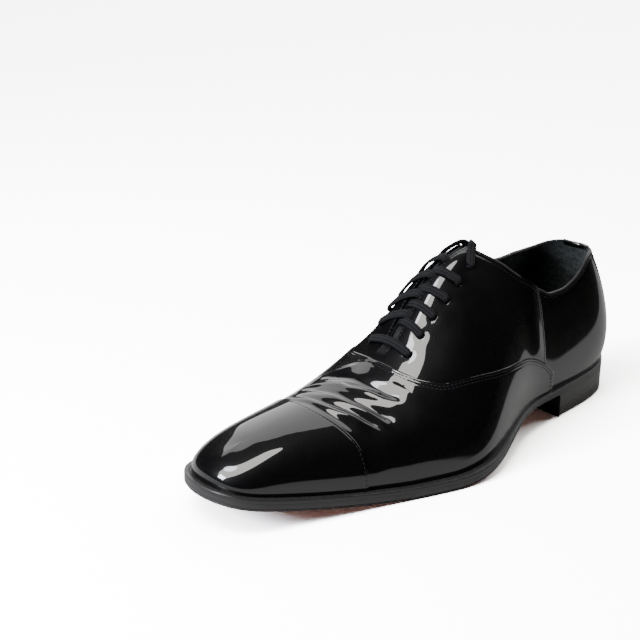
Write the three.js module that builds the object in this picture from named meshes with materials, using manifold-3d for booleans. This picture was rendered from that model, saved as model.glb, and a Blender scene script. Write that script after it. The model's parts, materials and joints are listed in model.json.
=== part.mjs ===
// Lace-up dress shoe in patent leather with a straight toe cap, for the left foot.
// Millimetres, +Z up. The toe points to -Y and the outer side of the foot is +X.
// A place on the shoe is given by its distance forward from the heel curve, called s, and by x and z.

import * as THREE from 'three';
import { mergeVertices } from 'three/addons/utils/BufferGeometryUtils.js';
import Module from 'manifold-3d';

const wasm = await Module();
wasm.setup();

// Driving sizes of the last
const LENGTH = 312;
const BALL_WIDTH = 100;
const INSTEP_HEIGHT = 100;
const HEEL_HEIGHT = 14.8;
const SEAT_RISE = 1.1;
const TOE_SPRING = 16;

// Sole: thicknesses, the width by which its edge stands out, and the roundings of the edges
const SOLE = 4.6;
const SHANK_SOLE = 2.7;
const SOLE_BEVEL = 1.1;
const SOLE_BEVEL_WIDTH = 1;
const SOLE_ROUND = 0.4;
const WELT = 2.2;
const SHANK_WELT = 1.5;
const WELT_ROUND = 0.3;
const WELT_SEAT = 5;
const EDGE = 4.6;
const INSOLE = 2.4;
const INSOLE_CLEAR = 0.6;

// Heel
const LIFT = 6;
const LIFT_BEVEL = 0.6;
const HEEL_INSET = 0.3;
const HEEL_TAPER = 1.2;
const BREAST_LEAN = 1.5;

// Upper
const WALL = 2.8;
const CAP_LAP = 0.8;
const VAMP_LAP = 0.8;
const QUARTER_LAP = 0.5;
const TONGUE = 1.8;
const TONGUE_WIDTH = 38;
const TONGUE_CLEAR = 0.8;

// Lacing
const EYELETS = 6;
const EYELET_HOLE = 3.4;
const FACING = 13.5;
const LACE_WIDTH = 5;
const LACE = 1.2;
const LACE_CLEAR = 0.7;
const LACE_LEAN = 1.5;
const LACE_OVERLAP = 1.5;
const TIP_LENGTH = 12;
const TIP_WIDTH = 2.8;
const TIP_TAPER = 0.83;

const GAP = 0.3;

// Places along the shoe, as shares of its length
const AT = {
  heelSeat: 0.2885, tread: 0.5897, treadFront: 0.657, shank: 0.3205, forepart: 0.5128, breast: 0.2276,
  slotEnd: 0.5890, tongueTop: 0.3927, tongueEnd: 0.6235, firstEyelet: 0.5716, lastEyelet: 0.4138,
};

// Sections of the last from heel to toe. along and ridgeAlong are shares of LENGTH. outer, inner, the two
// flares and crown are shares of BALL_WIDTH. upright, ridge and dip are shares of INSTEP_HEIGHT. edge is a
// share of EDGE, by which the sole stands out from the upper.
const COLUMNS = ['along', 'outer', 'inner', 'edge', 'upright', 'flareOuter', 'flareInner',
  'ridgeAlong', 'ridge', 'crown', 'dip'];
const SECTIONS = [
  [0.0239, 0.000, 0.000, 0.10, 0.208, 0.095, 0.075, 0.1353, 0.986, 0.275, 0.104],
  [0.0479, 0.180, 0.205, 0.10, 0.221, 0.113, 0.066, 0.1419, 0.977, 0.232, 0.120],
  [0.1184, 0.276, 0.296, 0.10, 0.260, 0.052, 0.042, 0.1674, 0.989, 0.202, 0.075],
  [0.2113, 0.315, 0.290, 0.25, 0.287, 0.034, 0.030, 0.2187, 0.996, 0.160, 0.060],
  [0.2947, 0.345, 0.250, 0.40, 0.292, 0.040, 0.050, 0.2764, 1.005, 0.160, 0.040],
  [0.3656, 0.412, 0.233, 0.42, 0.284, 0.054, 0.080, 0.3278, 0.993, 0.160, 0.020],
  [0.4430, 0.515, 0.290, 0.70, 0.272, 0.040, 0.087, 0.3927, 0.961, 0.173, 0.000],
  [0.5140, 0.572, 0.385, 0.97, 0.262, 0.034, 0.087, 0.4711, 0.892, 0.190, 0.000],
  [0.5879, 0.545, 0.475, 1.00, 0.233, 0.034, 0.068, 0.5645, 0.634, 0.278, 0.000],
  [0.6681, 0.473, 0.508, 1.00, 0.216, 0.030, 0.050, 0.6532, 0.462, 0.261, 0.000],
  [0.7480, 0.402, 0.462, 1.00, 0.167, 0.020, 0.030, 0.7436, 0.387, 0.247, 0.000],
  [0.8342, 0.330, 0.389, 1.00, 0.147, 0.020, 0.033, 0.8209, 0.327, 0.220, 0.000],
  [0.9050, 0.263, 0.330, 1.00, 0.130, 0.020, 0.035, 0.8790, 0.264, 0.173, 0.000],
  [0.9632, 0.170, 0.220, 1.05, 0.096, 0.018, 0.018, 0.9083, 0.219, 0.117, 0.000],
  [0.9832, -0.02, 0.020, 1.13, 0.096, 0.017, 0.017, 0.9212, 0.201, 0.108, 0.000],
];

// Top line: s as a share of LENGTH, then the heights of its outer and inner side above the welt as shares
// of INSTEP_HEIGHT
const COLLAR = [
  [0.000, 0.678, 0.678], [0.056, 0.686, 0.686], [0.081, 0.695, 0.707], [0.101, 0.688, 0.702],
  [0.120, 0.663, 0.689], [0.141, 0.624, 0.680], [0.167, 0.588, 0.681], [0.197, 0.567, 0.687],
  [0.227, 0.570, 0.686], [0.257, 0.615, 0.692], [0.282, 0.671, 0.715], [0.304, 0.722, 0.748],
  [0.325, 0.777, 0.792], [0.345, 0.838, 0.842], [0.367, 0.893, 0.898], [0.379, 0.922, 0.926],
  [0.397, 0.961, 0.961], [0.428, 1.044, 1.044],
];

// Lacing slot: s as a share of LENGTH, its outer and inner edge from the ridge, and the eyelets' distance
// from the edge, as shares of FACING
const SLOT = [
  [0.359, 0.16, 0.20, 0.72], [0.396, 0.16, 0.22, 0.72], [0.414, 0.13, 0.26, 0.72], [0.438, 0.10, 0.30, 0.95],
  [0.450, 0.09, 0.33, 1.00], [0.480, 0.07, 0.41, 1.10], [0.513, 0.08, 0.44, 1.05], [0.542, 0.13, 0.38, 0.97],
  [0.572, 0.20, 0.24, 0.93], [0.584, 0.14, 0.14, 0.93], [AT.slotEnd, 0, 0, 0.93],
];

// Seam of the vamp over the quarters: station, then the share of the way up from welt to ridge
const VAMP_SEAM = [
  [3.40, 0.120], [3.73, 0.188], [4.45, 0.256], [5.70, 0.325], [6.88, 0.400], [7.73, 0.513], [8.15, 0.650],
  [8.27, 0.725], [8.35, 0.800], [8.40, 0.890], [8.43, 1.000],
];

// Stations round the shoe, counted in sections from the heel curve: the toe's tip, the way round back to the
// heel, and the seams
const TIP = SECTIONS.length - 1;
const ROUND = 2 * TIP;
const WING = VAMP_SEAM[0][0];
const SIDE_SEAM = 3.68;
const THROAT = VAMP_SEAM.at(-1)[0];
const CAP_SEAM = 9.95;

// Stations between which the ridge runs over the instep, and the share of the way up where its crown begins
const INSTEP = [4, TIP - 3];
const CROWN = 0.4;

const smooth = (t) => {
  const w = Math.min(Math.max(t, 0), 1);
  return w * w * (3 - 2 * w);
};
const mix = (a, b, t) => a + (b - a) * t;

// A curve through rows of [place, value], with the gentler of the two slopes at each row
function profile(rows, column = 1) {
  const secant = rows.slice(1).map((row, i) => (row[column] - rows[i][column]) / (row[0] - rows[i][0]));
  const slope = rows.map((row, i) => {
    if (i === 0 || i === rows.length - 1) return secant[Math.min(i, rows.length - 2)];
    const [a, b] = [secant[i - 1], secant[i]];
    return a * b <= 0 ? 0 : (2 * a * b) / (a + b);
  });
  return (place) => {
    let i = 0;
    while (i < rows.length - 2 && place > rows[i + 1][0]) i += 1;
    const span = rows[i + 1][0] - rows[i][0];
    const t = Math.min(Math.max((place - rows[i][0]) / span, 0), 1);
    const rise = rows[i + 1][column] - rows[i][column];
    const bend = slope[i] * (1 - t) - slope[i + 1] * t;
    return rows[i][column] + rise * smooth(t) + span * t * (1 - t) * bend;
  };
}

// A smooth closed curve through values at whole stations round the shoe
function closedCurve(values) {
  const n = values.length;
  let control = [...values];
  for (let pass = 0; pass < 50; pass += 1) {
    control = values.map((value, i) => (6 * value - control[(i + n - 1) % n] - control[(i + 1) % n]) / 4);
  }
  return (u) => {
    const i = Math.floor(u);
    const t = u - i;
    const at = (k) => control[(((i + k) % n) + n) % n];
    const r = 1 - t;
    return (r ** 3 * at(-1) + (3 * t ** 3 - 6 * t * t + 4) * at(0) + (3 * r ** 3 - 6 * r * r + 4) * at(1)
      + t ** 3 * at(2)) / 6;
  };
}

// The same column on both sides, or one column for each side, as one curve round the shoe
function aroundShoe(outer, inner, size, innerSign = 1) {
  const take = (row, name) => row[COLUMNS.indexOf(name)] * size;
  const outerSide = SECTIONS.map((row) => take(row, outer));
  const innerSide = SECTIONS.slice(1, -1).map((row) => innerSign * take(row, inner)).reverse();
  return closedCurve([...outerSide, ...innerSide]);
}

// Sole heights along the shoe: the seat rising to the back, the arch over the shank, a flat tread and the
// spring of the toe
const TOE_CURVE = 1.4;
function bottom(s) {
  const shank = (AT.tread * LENGTH - s) / ((AT.tread - AT.heelSeat) * LENGTH);
  const toe = Math.max((s / LENGTH - AT.treadFront) / (1 - AT.treadFront), 0);
  const seat = Math.max(1 - s / (AT.heelSeat * LENGTH), 0);
  return HEEL_HEIGHT * smooth(shank) + SEAT_RISE * seat + TOE_SPRING * toe ** TOE_CURVE;
}
const forepart = (s) => smooth((s / LENGTH - AT.shank) / (AT.forepart - AT.shank));
const soleTop = (s) => bottom(s) + mix(SHANK_SOLE, SOLE, forepart(s));
const weltTop = (s) => soleTop(s) + GAP + mix(SHANK_WELT, WELT, forepart(s));
const featherHeight = (s) => weltTop(s) + GAP;

const featherX = aroundShoe('outer', 'inner', BALL_WIDTH, -1);
const featherS = aroundShoe('along', 'along', LENGTH);
const edge = aroundShoe('edge', 'edge', EDGE);
const upright = aroundShoe('upright', 'upright', INSTEP_HEIGHT);
const flare = aroundShoe('flareOuter', 'flareInner', BALL_WIDTH);
const ridgeS = aroundShoe('ridgeAlong', 'ridgeAlong', LENGTH);
const ridge = aroundShoe('ridge', 'ridge', INSTEP_HEIGHT);
const crown = aroundShoe('crown', 'crown', BALL_WIDTH);
const dip = aroundShoe('dip', 'dip', INSTEP_HEIGHT);

const STEP = 1e-3;
const turnRound = (u) => ((u % ROUND) + ROUND) % ROUND;
const stationOf = (u) => (turnRound(u) > TIP ? ROUND - turnRound(u) : turnRound(u));

// Outward direction of the last's bottom outline in plan, as [x, s]
function outward(u) {
  const dx = featherX(u + STEP) - featherX(u - STEP);
  const ds = featherS(u + STEP) - featherS(u - STEP);
  const size = Math.hypot(dx, ds);
  return [ds / size, -dx / size];
}

// The surface of the last: u runs round the shoe from the heel curve, v from the welt up to the ridge.
// At heel and toe its sections fan out, within END_STATIONS of the tip and fully so FAN_STATIONS nearer.
const END_STATIONS = 4;
const FAN_STATIONS = 3;
const TOE_SLOPE = 0.3;
function last(u, v) {
  const [nx, ns] = outward(u);
  const s = featherS(u);
  const station = stationOf(u);
  const side = turnRound(u) <= TIP ? 1 : -1;
  const fromEnd = Math.min(station, TIP - station);
  const fan = smooth((END_STATIONS - fromEnd) / FAN_STATIONS);
  const foot = [featherX(u), s, featherHeight(s)];
  const low = [foot[0] + nx * flare(u), foot[1] + ns * flare(u), foot[2] + upright(u)];
  const top = [0, ridgeS(u), featherHeight(ridgeS(u)) + ridge(u)];
  const across = mix(side, nx, fan) * crown(u);
  const forward = ns * fan * crown(u);
  const slope = station > TIP / 2 ? TOE_SLOPE : 0;
  const high = [across, top[1] + forward, top[2] - forward * slope - dip(u)];
  const w = 1 - v;
  const shares = [w ** 3, 3 * w * w * v, 3 * w * v * v, v ** 3];
  return [0, 1, 2].map((k) => (
    shares[0] * foot[k] + shares[1] * low[k] + shares[2] * high[k] + shares[3] * top[k]));
}

// The cap seam runs forward where it crosses the ridge, and the mesh runs with it
const CAP_LEAN = 0.42;
const CAP_LEAN_FROM = 0.35;
const CAP_LEAN_STATIONS = 1.2;
function leaned(u, v) {
  const station = stationOf(u);
  const near = Math.exp(-(((station - CAP_SEAM) / CAP_LEAN_STATIONS) ** 2));
  const shift = CAP_LEAN * near * smooth((v - CAP_LEAN_FROM) / (1 - CAP_LEAN_FROM));
  return turnRound(u) > TIP ? u - shift : u + shift;
}
const onLast = (u, v) => last(leaned(u, v), v);

// Outward normal: level at the welt, and taken just below the ridge where the two sides meet
const BELOW_RIDGE = 0.985;
function normal(u, v) {
  if (v === 0) {
    return new THREE.Vector3(...outward(u), 0);
  }
  const high = Math.min(v, BELOW_RIDGE);
  const [a, b] = [onLast(u - STEP, high), onLast(u + STEP, high)];
  const [c, d] = [onLast(u, high - STEP), onLast(u, high + STEP)];
  const along = new THREE.Vector3(b[0] - a[0], b[1] - a[1], b[2] - a[2]);
  const up = new THREE.Vector3(d[0] - c[0], d[1] - c[1], d[2] - c[2]);
  return along.cross(up).normalize();
}

// A point lifted off the last, in the shoe's own axes of x, -s and z
function skin(u, v, lift) {
  const n = normal(u, v);
  if (v === 1) {
    n.add(normal(ROUND - u, v)).setX(0).normalize();
  }
  const p = onLast(u, v);
  return new THREE.Vector3(p[0] + n.x * lift, -(p[1] + n.y * lift), p[2] + n.z * lift);
}

// Root of a rising function between two bounds
function solve(f, low, high) {
  let [a, b] = [low, high];
  for (let pass = 0; pass < 40; pass += 1) {
    const middle = (a + b) / 2;
    if (f(middle) < 0) a = middle;
    else b = middle;
  }
  return (a + b) / 2;
}

// Where the upper is cut at its collar and its lacing slot
const collarHeights = [profile(COLLAR, 1), profile(COLLAR, 2)];
const slotEdges = [profile(SLOT, 1), profile(SLOT, 2)];
const seamShare = profile(VAMP_SEAM);
const sideOf = (u) => (turnRound(u) > TIP ? 1 : 0);
const slotEdge = (u, s) => slotEdges[sideOf(u)](s / LENGTH) * FACING;
function collarTop(u) {
  const over = (v) => {
    const [, s, z] = onLast(u, v);
    return z - featherHeight(s) - collarHeights[sideOf(u)](s / LENGTH) * INSTEP_HEIGHT;
  };
  return over(1) < 0 ? 1 : solve(over, 0, 1);
}
function slotTop(u) {
  return solve((v) => {
    const [x, s] = onLast(u, v);
    return slotEdge(u, s) - Math.abs(x);
  }, CROWN, 1);
}
const ridgeStation = (share) => solve((u) => ridgeS(u) - share * LENGTH, ...INSTEP);
const SLOT_END = ridgeStation(AT.slotEnd);
const FACING_TOP = solve((u) => collarTop(u) - slotTop(u), INSTEP[0], SLOT_END);
const INNER_FACING_TOP = solve((u) => collarTop(ROUND - u) - slotTop(ROUND - u), INSTEP[0], SLOT_END);
const isOpen = (u) => stationOf(u) < SLOT_END - STEP;
function topOf(u) {
  if (!isOpen(u)) return 1;
  const facingTop = turnRound(u) > TIP ? INNER_FACING_TOP : FACING_TOP;
  return stationOf(u) < facingTop ? collarTop(u) : slotTop(u);
}

// Depth of the skin below the vamp's surface on each panel of the upper
const front = -VAMP_LAP;
const back = -VAMP_LAP - QUARTER_LAP;
const INSIDE_HEEL = [ROUND - 3, ROUND - 0.5];
const insideHeel = (u) => mix(front, back, smooth((u - INSIDE_HEEL[0]) / (INSIDE_HEEL[1] - INSIDE_HEEL[0])));

// Panels round the shoe: from, to, skin under the vamp seam, skin over it
const PANELS = [
  [0, WING, () => back, () => back],
  [WING, SIDE_SEAM, () => 0, () => back],
  [SIDE_SEAM, THROAT, () => 0, () => front],
  [THROAT, CAP_SEAM, () => 0, () => 0],
  [CAP_SEAM, ROUND - CAP_SEAM, () => CAP_LAP, () => CAP_LAP],
  [ROUND - CAP_SEAM, ROUND - THROAT, () => 0, () => 0],
  [ROUND - THROAT, ROUND - WING, () => 0, () => front],
  [ROUND - WING, ROUND, insideHeel, insideHeel],
];

// Mesh of the upper: stations from column to column, and rows under and over the vamp seam
const COLUMN_STEP = 0.32;
const LOW_ROWS = 8;
const HIGH_ROWS = 6;

// Mesh columns: even steps, with one on each corner of the top edge and where the vamp seam turns up
const seamTurns = VAMP_SEAM.map(([station]) => station).filter((station) => station > THROAT - COLUMN_STEP);
function columnsOf([from, to, low, high]) {
  const corners = [SLOT_END, ...seamTurns]
    .flatMap((station) => [station, ROUND - station])
    .concat(FACING_TOP, ROUND - INNER_FACING_TOP)
    .filter((u) => u > from + STEP && u < to - STEP);
  const stops = [from, ...corners, to].sort((a, b) => a - b);
  const columns = [];
  for (let i = 0; i < stops.length - 1; i += 1) {
    const count = Math.max(Math.ceil((stops[i + 1] - stops[i]) / COLUMN_STEP), 1);
    for (let k = 0; k < count; k += 1) columns.push(mix(stops[i], stops[i + 1], k / count));
  }
  return [...columns, to].map((u) => ({ u, low: low(u), high: high(u) }));
}

// Triangles of a shell from matching grids of outer and inner points
class Shell {
  constructor() {
    this.points = [];
  }

  triangle(a, b, c) {
    this.points.push(a, b, c);
  }

  quad(a, b, c, d) {
    this.triangle(a, b, c);
    this.triangle(a, c, d);
  }

  // Sheet between columns of points, each column from low to high
  sheet(columns, inside) {
    for (let i = 0; i < columns.length - 1; i += 1) {
      const [a, b] = [columns[i], columns[i + 1]];
      for (let j = 0; j < a.length - 1; j += 1) {
        if (inside) this.quad(a[j], b[j], b[j + 1], a[j + 1]);
        else this.quad(a[j], a[j + 1], b[j + 1], b[j]);
      }
    }
  }

  geometry() {
    const flat = new THREE.BufferGeometry().setFromPoints(this.points);
    return closedGeometry(flat);
  }
}

// Merged vertices, without the triangles that merging makes flat
function closedGeometry(source) {
  const bare = source.index ? source.toNonIndexed() : source.clone();
  bare.deleteAttribute('normal');
  bare.deleteAttribute('uv');
  const merged = mergeVertices(bare, 1e-3);
  const index = merged.index.array;
  const kept = [];
  for (let i = 0; i < index.length; i += 3) {
    const [a, b, c] = [index[i], index[i + 1], index[i + 2]];
    if (a !== b && b !== c && c !== a) kept.push(a, b, c);
  }
  merged.setIndex(kept);
  return merged;
}

function toSolid(geometry) {
  const merged = closedGeometry(geometry);
  const vertProperties = new Float32Array(merged.attributes.position.array);
  const triVerts = new Uint32Array(merged.index.array);
  return new wasm.Manifold(new wasm.Mesh({ numProp: 3, vertProperties, triVerts }));
}

function fromSolid(solid) {
  const { vertProperties, triVerts, numProp } = solid.getMesh();
  const geometry = new THREE.BufferGeometry();
  const positions = [];
  for (let i = 0; i < vertProperties.length; i += numProp) positions.push(...vertProperties.slice(i, i + 3));
  geometry.setAttribute('position', new THREE.Float32BufferAttribute(positions, 3));
  geometry.setIndex([...triVerts]);
  return geometry;
}

// Share of the way up at which the crown is x from the ridge line
function shareAcross(u, x) {
  return Math.abs(x) < STEP ? 1 : solve((v) => Math.abs(x) - Math.abs(onLast(u, v)[0]), CROWN, 1);
}

// Place on the upper at a distance s and x from the ridge line
function findOnUpper(s, x) {
  const sided = (station) => (x < 0 ? ROUND - station : station);
  const station = solve((u) => onLast(sided(u), shareAcross(sided(u), x))[1] - s, ...INSTEP);
  return { u: sided(station), v: shareAcross(sided(station), x) };
}

// Eyelets stand in even steps along the ridge's slope, beside the slot on each side
function evenAlongRidge(from, to, count) {
  const pieces = 120;
  const [start, end] = [ridgeStation(from), ridgeStation(to)];
  const points = Array.from({ length: pieces + 1 }, (_, i) => onLast(mix(start, end, i / pieces), 1));
  const run = [0];
  for (let i = 1; i <= pieces; i += 1) {
    run.push(run[i - 1] + Math.hypot(points[i][1] - points[i - 1][1], points[i][2] - points[i - 1][2]));
  }
  return Array.from({ length: count }, (_, k) => {
    const reach = (run[pieces] * k) / (count - 1);
    return points[Math.max(run.findIndex((length) => length >= reach - STEP), 0)][1];
  });
}
const eyeletS = evenAlongRidge(AT.firstEyelet, AT.lastEyelet, EYELETS);
const besideSlot = profile(SLOT, 3);
function eyeletX(s, side) {
  const edgeShare = slotEdges[side > 0 ? 0 : 1](s / LENGTH);
  return side * (edgeShare + besideSlot(s / LENGTH)) * FACING;
}

const ROUND_SIDES = 10;
function eyeletCutter(s, side) {
  const { u, v } = findOnUpper(s, eyeletX(s, side));
  const outer = skin(u, v, WALL);
  const inner = skin(u, v, -2 * WALL);
  const radius = EYELET_HOLE / 2;
  const hole = new THREE.CylinderGeometry(radius, radius, outer.distanceTo(inner), ROUND_SIDES);
  const direction = outer.clone().sub(inner).normalize();
  hole.applyQuaternion(new THREE.Quaternion().setFromUnitVectors(new THREE.Vector3(0, 1, 0), direction));
  hole.translate(...outer.add(inner).multiplyScalar(0.5).toArray());
  return toSolid(hole);
}

// The upper: cap, vamp, quarters and heel panel as steps in one wall, open at the collar, slot and sole
function upperGeometry() {
  const shell = new Shell();
  const columns = PANELS.flatMap(columnsOf);
  const outer = [];
  const inner = [];
  for (const { u, low, high } of columns) {
    const top = topOf(u);
    const station = stationOf(u);
    const seam = station > THROAT - STEP ? 1 : seamShare(Math.max(station, WING));
    const shares = [];
    for (let j = 0; j <= LOW_ROWS; j += 1) shares.push([seam * (j / LOW_ROWS), low]);
    for (let j = 0; j <= HIGH_ROWS; j += 1) {
      shares.push([j === HIGH_ROWS ? top : mix(seam, top, j / HIGH_ROWS), high]);
    }
    outer.push(shares.map(([v, lift]) => skin(u, v, lift)));
    inner.push(shares.map(([v]) => skin(u, v, -WALL)));
  }
  shell.sheet(outer, false);
  shell.sheet(inner, true);
  for (let i = 0; i < columns.length - 1; i += 1) {
    const [a, b] = [i, i + 1];
    shell.quad(outer[b][0], inner[b][0], inner[a][0], outer[a][0]);
    if (isOpen(columns[a].u) || isOpen(columns[b].u)) {
      shell.quad(outer[a].at(-1), inner[a].at(-1), inner[b].at(-1), outer[b].at(-1));
    }
  }
  const wall = toSolid(shell.geometry());
  const cutters = eyeletS.flatMap((s) => [eyeletCutter(s, 1), eyeletCutter(s, -1)]);
  return fromSolid(cutters.reduce((solid, cutter) => solid.subtract(cutter), wall));
}

// A point of the sole's outline, moved in from the last's bottom outline by an inset, at a height z(s)
function outlinePoint(u, inset, height, limit = Infinity) {
  const [nx, ns] = outward(u);
  const s = Math.min(featherS(u) - ns * inset, limit);
  return new THREE.Vector3(featherX(u) - nx * inset, -s, height(s));
}

// A layer of the sole: closed rings of the outline at several levels, each with its inset and height.
// It reaches from the heel curve to a station, or all the way round to the toe.
const SOLE_STEP = 0.35;
function layer(levels, end = TIP, limitOf = () => Infinity) {
  const count = Math.ceil(end / SOLE_STEP);
  const stations = Array.from({ length: count + 1 }, (_, i) => (end * i) / count);
  const ring = ({ inset, height }, side) => stations.map((station) => {
    const u = side > 0 ? station : ROUND - station;
    return outlinePoint(u, typeof inset === 'function' ? inset(u) : inset, height, limitOf(height));
  });
  const outer = levels.map((level) => ring(level, 1));
  const inner = levels.map((level) => ring(level, -1));
  const shell = new Shell();
  for (let i = 0; i < count; i += 1) {
    const topLevel = levels.length - 1;
    shell.quad(outer[0][i + 1], inner[0][i + 1], inner[0][i], outer[0][i]);
    shell.quad(inner[topLevel][i], inner[topLevel][i + 1], outer[topLevel][i + 1], outer[topLevel][i]);
    for (let k = 0; k < topLevel; k += 1) {
      shell.quad(outer[k + 1][i], outer[k + 1][i + 1], outer[k][i + 1], outer[k][i]);
      shell.quad(inner[k + 1][i + 1], inner[k + 1][i], inner[k][i], inner[k][i + 1]);
    }
  }
  if (end < TIP) {
    for (let k = 0; k < levels.length - 1; k += 1) {
      shell.quad(outer[k + 1][count], inner[k + 1][count], inner[k][count], outer[k][count]);
    }
  }
  return shell.geometry();
}

const outsideEdge = (trim) => (u) => trim - edge(u);

// The outsole's edge is bevelled below and a little rounded, widest above its middle
function outsoleGeometry() {
  return layer([
    { inset: outsideEdge(SOLE_BEVEL_WIDTH), height: bottom },
    { inset: outsideEdge(SOLE_ROUND), height: (s) => bottom(s) + SOLE_BEVEL },
    { inset: outsideEdge(0), height: (s) => mix(bottom(s), soleTop(s), 0.6) },
    { inset: outsideEdge(SOLE_ROUND), height: soleTop },
  ]);
}

// The welt is a strip with its inner part open over the sole
function weltGeometry() {
  const above = (share) => (s) => mix(soleTop(s) + GAP, weltTop(s), share);
  const strip = layer([
    { inset: outsideEdge(2 * WELT_ROUND), height: above(0) },
    { inset: outsideEdge(WELT_ROUND), height: above(0.4) },
    { inset: outsideEdge(2 * WELT_ROUND), height: above(1) },
  ]);
  const opening = layer([
    { inset: WELT_SEAT, height: above(-1) },
    { inset: WELT_SEAT, height: above(2) },
  ]);
  return fromSolid(toSolid(strip).subtract(toSolid(opening)));
}

// The insole, with the filler under it that fills the welt's opening
function insoleGeometry() {
  const filler = WELT_SEAT + GAP;
  const inside = WALL + INSOLE_CLEAR;
  return layer([
    { inset: filler, height: (s) => soleTop(s) + GAP },
    { inset: filler, height: featherHeight },
    { inset: inside, height: featherHeight },
    { inset: inside, height: (s) => featherHeight(s) + INSOLE },
  ]);
}

// The heel under the outsole's seat, cut off at a breast that leans forward to the sole. Its sides draw in
// towards the ground, and its back stands upright.
const UPRIGHT_STATIONS = 3;
const breastAt = (z) => AT.breast * LENGTH - BREAST_LEAN * (1 - z / HEEL_HEIGHT);
const breastStation = solve((u) => featherS(u) - AT.breast * LENGTH, 1, TIP / 2);
const PAST_BREAST = 0.3;
function heelLayer(levels) {
  const edges = levels.map(({ z, inset }) => ({ inset: (u) => inset(u) - edge(u), height: z }));
  return layer(edges, breastStation + PAST_BREAST, (height) => breastAt(height(AT.breast * LENGTH)));
}
const taper = (z, trim = 0) => (u) => (
  trim + HEEL_INSET + HEEL_TAPER * (1 - z / HEEL_HEIGHT) * smooth(stationOf(u) / UPRIGHT_STATIONS));
function heelStackGeometry() {
  const foot = LIFT + GAP;
  return heelLayer([
    { z: () => foot, inset: taper(foot) },
    { z: (s) => bottom(s) - GAP, inset: taper(HEEL_HEIGHT) },
  ]);
}
function topLiftGeometry() {
  return heelLayer([
    { z: () => 0, inset: taper(0, LIFT_BEVEL) },
    { z: () => LIFT_BEVEL, inset: taper(0) },
    { z: () => LIFT, inset: taper(LIFT) },
  ]);
}

// The tongue lies under the facings and follows the wall
function tongueGeometry() {
  const across = 10;
  const count = 14;
  const from = ridgeStation(AT.tongueTop);
  const to = ridgeStation(AT.tongueEnd);
  const depth = WALL + TONGUE_CLEAR;
  const faces = [[], []];
  for (let i = 0; i <= count; i += 1) {
    const station = mix(from, to, i / count);
    const columns = [[], []];
    for (let k = 0; k <= across; k += 1) {
      const x = TONGUE_WIDTH * (k / across - 0.5);
      const u = x < 0 ? ROUND - station : station;
      const v = shareAcross(u, x);
      columns[0].push(skin(u, v, -depth));
      columns[1].push(skin(u, v, -depth - TONGUE));
    }
    faces[0].push(columns[0]);
    faces[1].push(columns[1]);
  }
  const [upper, lower] = faces;
  const shell = new Shell();
  shell.sheet(upper, true);
  shell.sheet(lower, false);
  for (let i = 0; i < count; i += 1) {
    shell.quad(upper[i][0], lower[i][0], lower[i + 1][0], upper[i + 1][0]);
    shell.quad(upper[i + 1].at(-1), lower[i + 1].at(-1), lower[i].at(-1), upper[i].at(-1));
  }
  for (let k = 0; k < across; k += 1) {
    shell.quad(upper[0][k + 1], lower[0][k + 1], lower[0][k], upper[0][k]);
    shell.quad(upper[count][k], lower[count][k], lower[count][k + 1], upper[count][k + 1]);
  }
  return shell.geometry();
}

// Half of the flat lace's section, as shares of its width and thickness
const LACE_SECTION = [[0.5, 0.18], [0.4, 0.5], [-0.4, 0.5], [-0.5, 0.18]];
const sectionPoints = [...LACE_SECTION, ...LACE_SECTION.map(([a, b]) => [-a, -b])]
  .map(([a, b]) => [a * LACE_WIDTH, b * LACE]);

// A flat lace swept along points of the upper, each with the direction away from the leather
function ribbonGeometry(stops) {
  const rings = stops.map(({ at, up }, i) => {
    const [before, after] = [stops[Math.max(i - 1, 0)].at, stops[Math.min(i + 1, stops.length - 1)].at];
    const run = after.clone().sub(before).normalize();
    const wide = run.clone().cross(up).normalize();
    const thick = wide.clone().cross(run).normalize();
    return sectionPoints.map(([a, b]) => at.clone().addScaledVector(wide, a).addScaledVector(thick, b));
  });
  const shell = new Shell();
  shell.sheet(rings.map((ring) => [...ring, ring[0]]), true);
  for (let k = 1; k < sectionPoints.length - 1; k += 1) {
    const [first, end] = [rings[0], rings.at(-1)];
    shell.triangle(first[0], first[k], first[k + 1]);
    shell.triangle(end[0], end[k + 1], end[k]);
  }
  return shell.geometry();
}

// A stop of a lace over the facings, at x and s
const laceLift = front + LACE_CLEAR + LACE / 2;
function laceStop(s, x) {
  const { u, v } = findOnUpper(s, x);
  return { at: skin(u, v, laceLift), up: normal(u, v).multiply(new THREE.Vector3(1, -1, 1)) };
}

// Half a crossing: from its eyelet to just past the middle of the slot
function laceArm(s, side, lean) {
  const stops = 7;
  const start = eyeletX(s, side);
  const end = -side * LACE_OVERLAP;
  return ribbonGeometry(Array.from({ length: stops }, (_, i) => {
    const share = i / (stops - 1);
    return laceStop(s - lean * smooth(share), mix(start, end, share));
  }));
}
// The outer arm of a crossing leans to the toe and the inner arm to the top
function crossingGeometry(s, lean) {
  return fromSolid(toSolid(laceArm(s, 1, -lean)).add(toSolid(laceArm(s, -1, lean))));
}

// The two ends of the lace run from the top eyelets over the edge of the facings and down into the shoe.
// Points are [x, s, z], chosen along the way that the lace takes. Those without z lie on the leather.
const OUTER_END = [
  [12.0, 129.7], [10.2, 127.9], [8.4, 125.8], [6.9, 123.6, 110.6], [5.9, 122.3, 111.9], [5.1, 121.1, 113.2],
  [4.3, 119.9, 113.6], [3.5, 118.8, 112.7], [2.9, 118.0, 110.7], [2.5, 117.4, 107.3], [2.3, 117.0, 102.6],
  [2.2, 116.8, 97.2],
];
const INNER_END = [
  [-13.2, 129.6], [-12.4, 128.4, 103.3], [-11.0, 126.8, 106.2], [-9.2, 125.3, 108.2], [-7.0, 123.8, 110.2],
  [-5.0, 122.0, 111.8], [-3.7, 120.0, 112.1], [-3.0, 118.2, 110.8], [-2.8, 117.0, 107.8],
  [-2.8, 116.4, 103.4], [-2.8, 116.1, 97.8],
];
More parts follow.
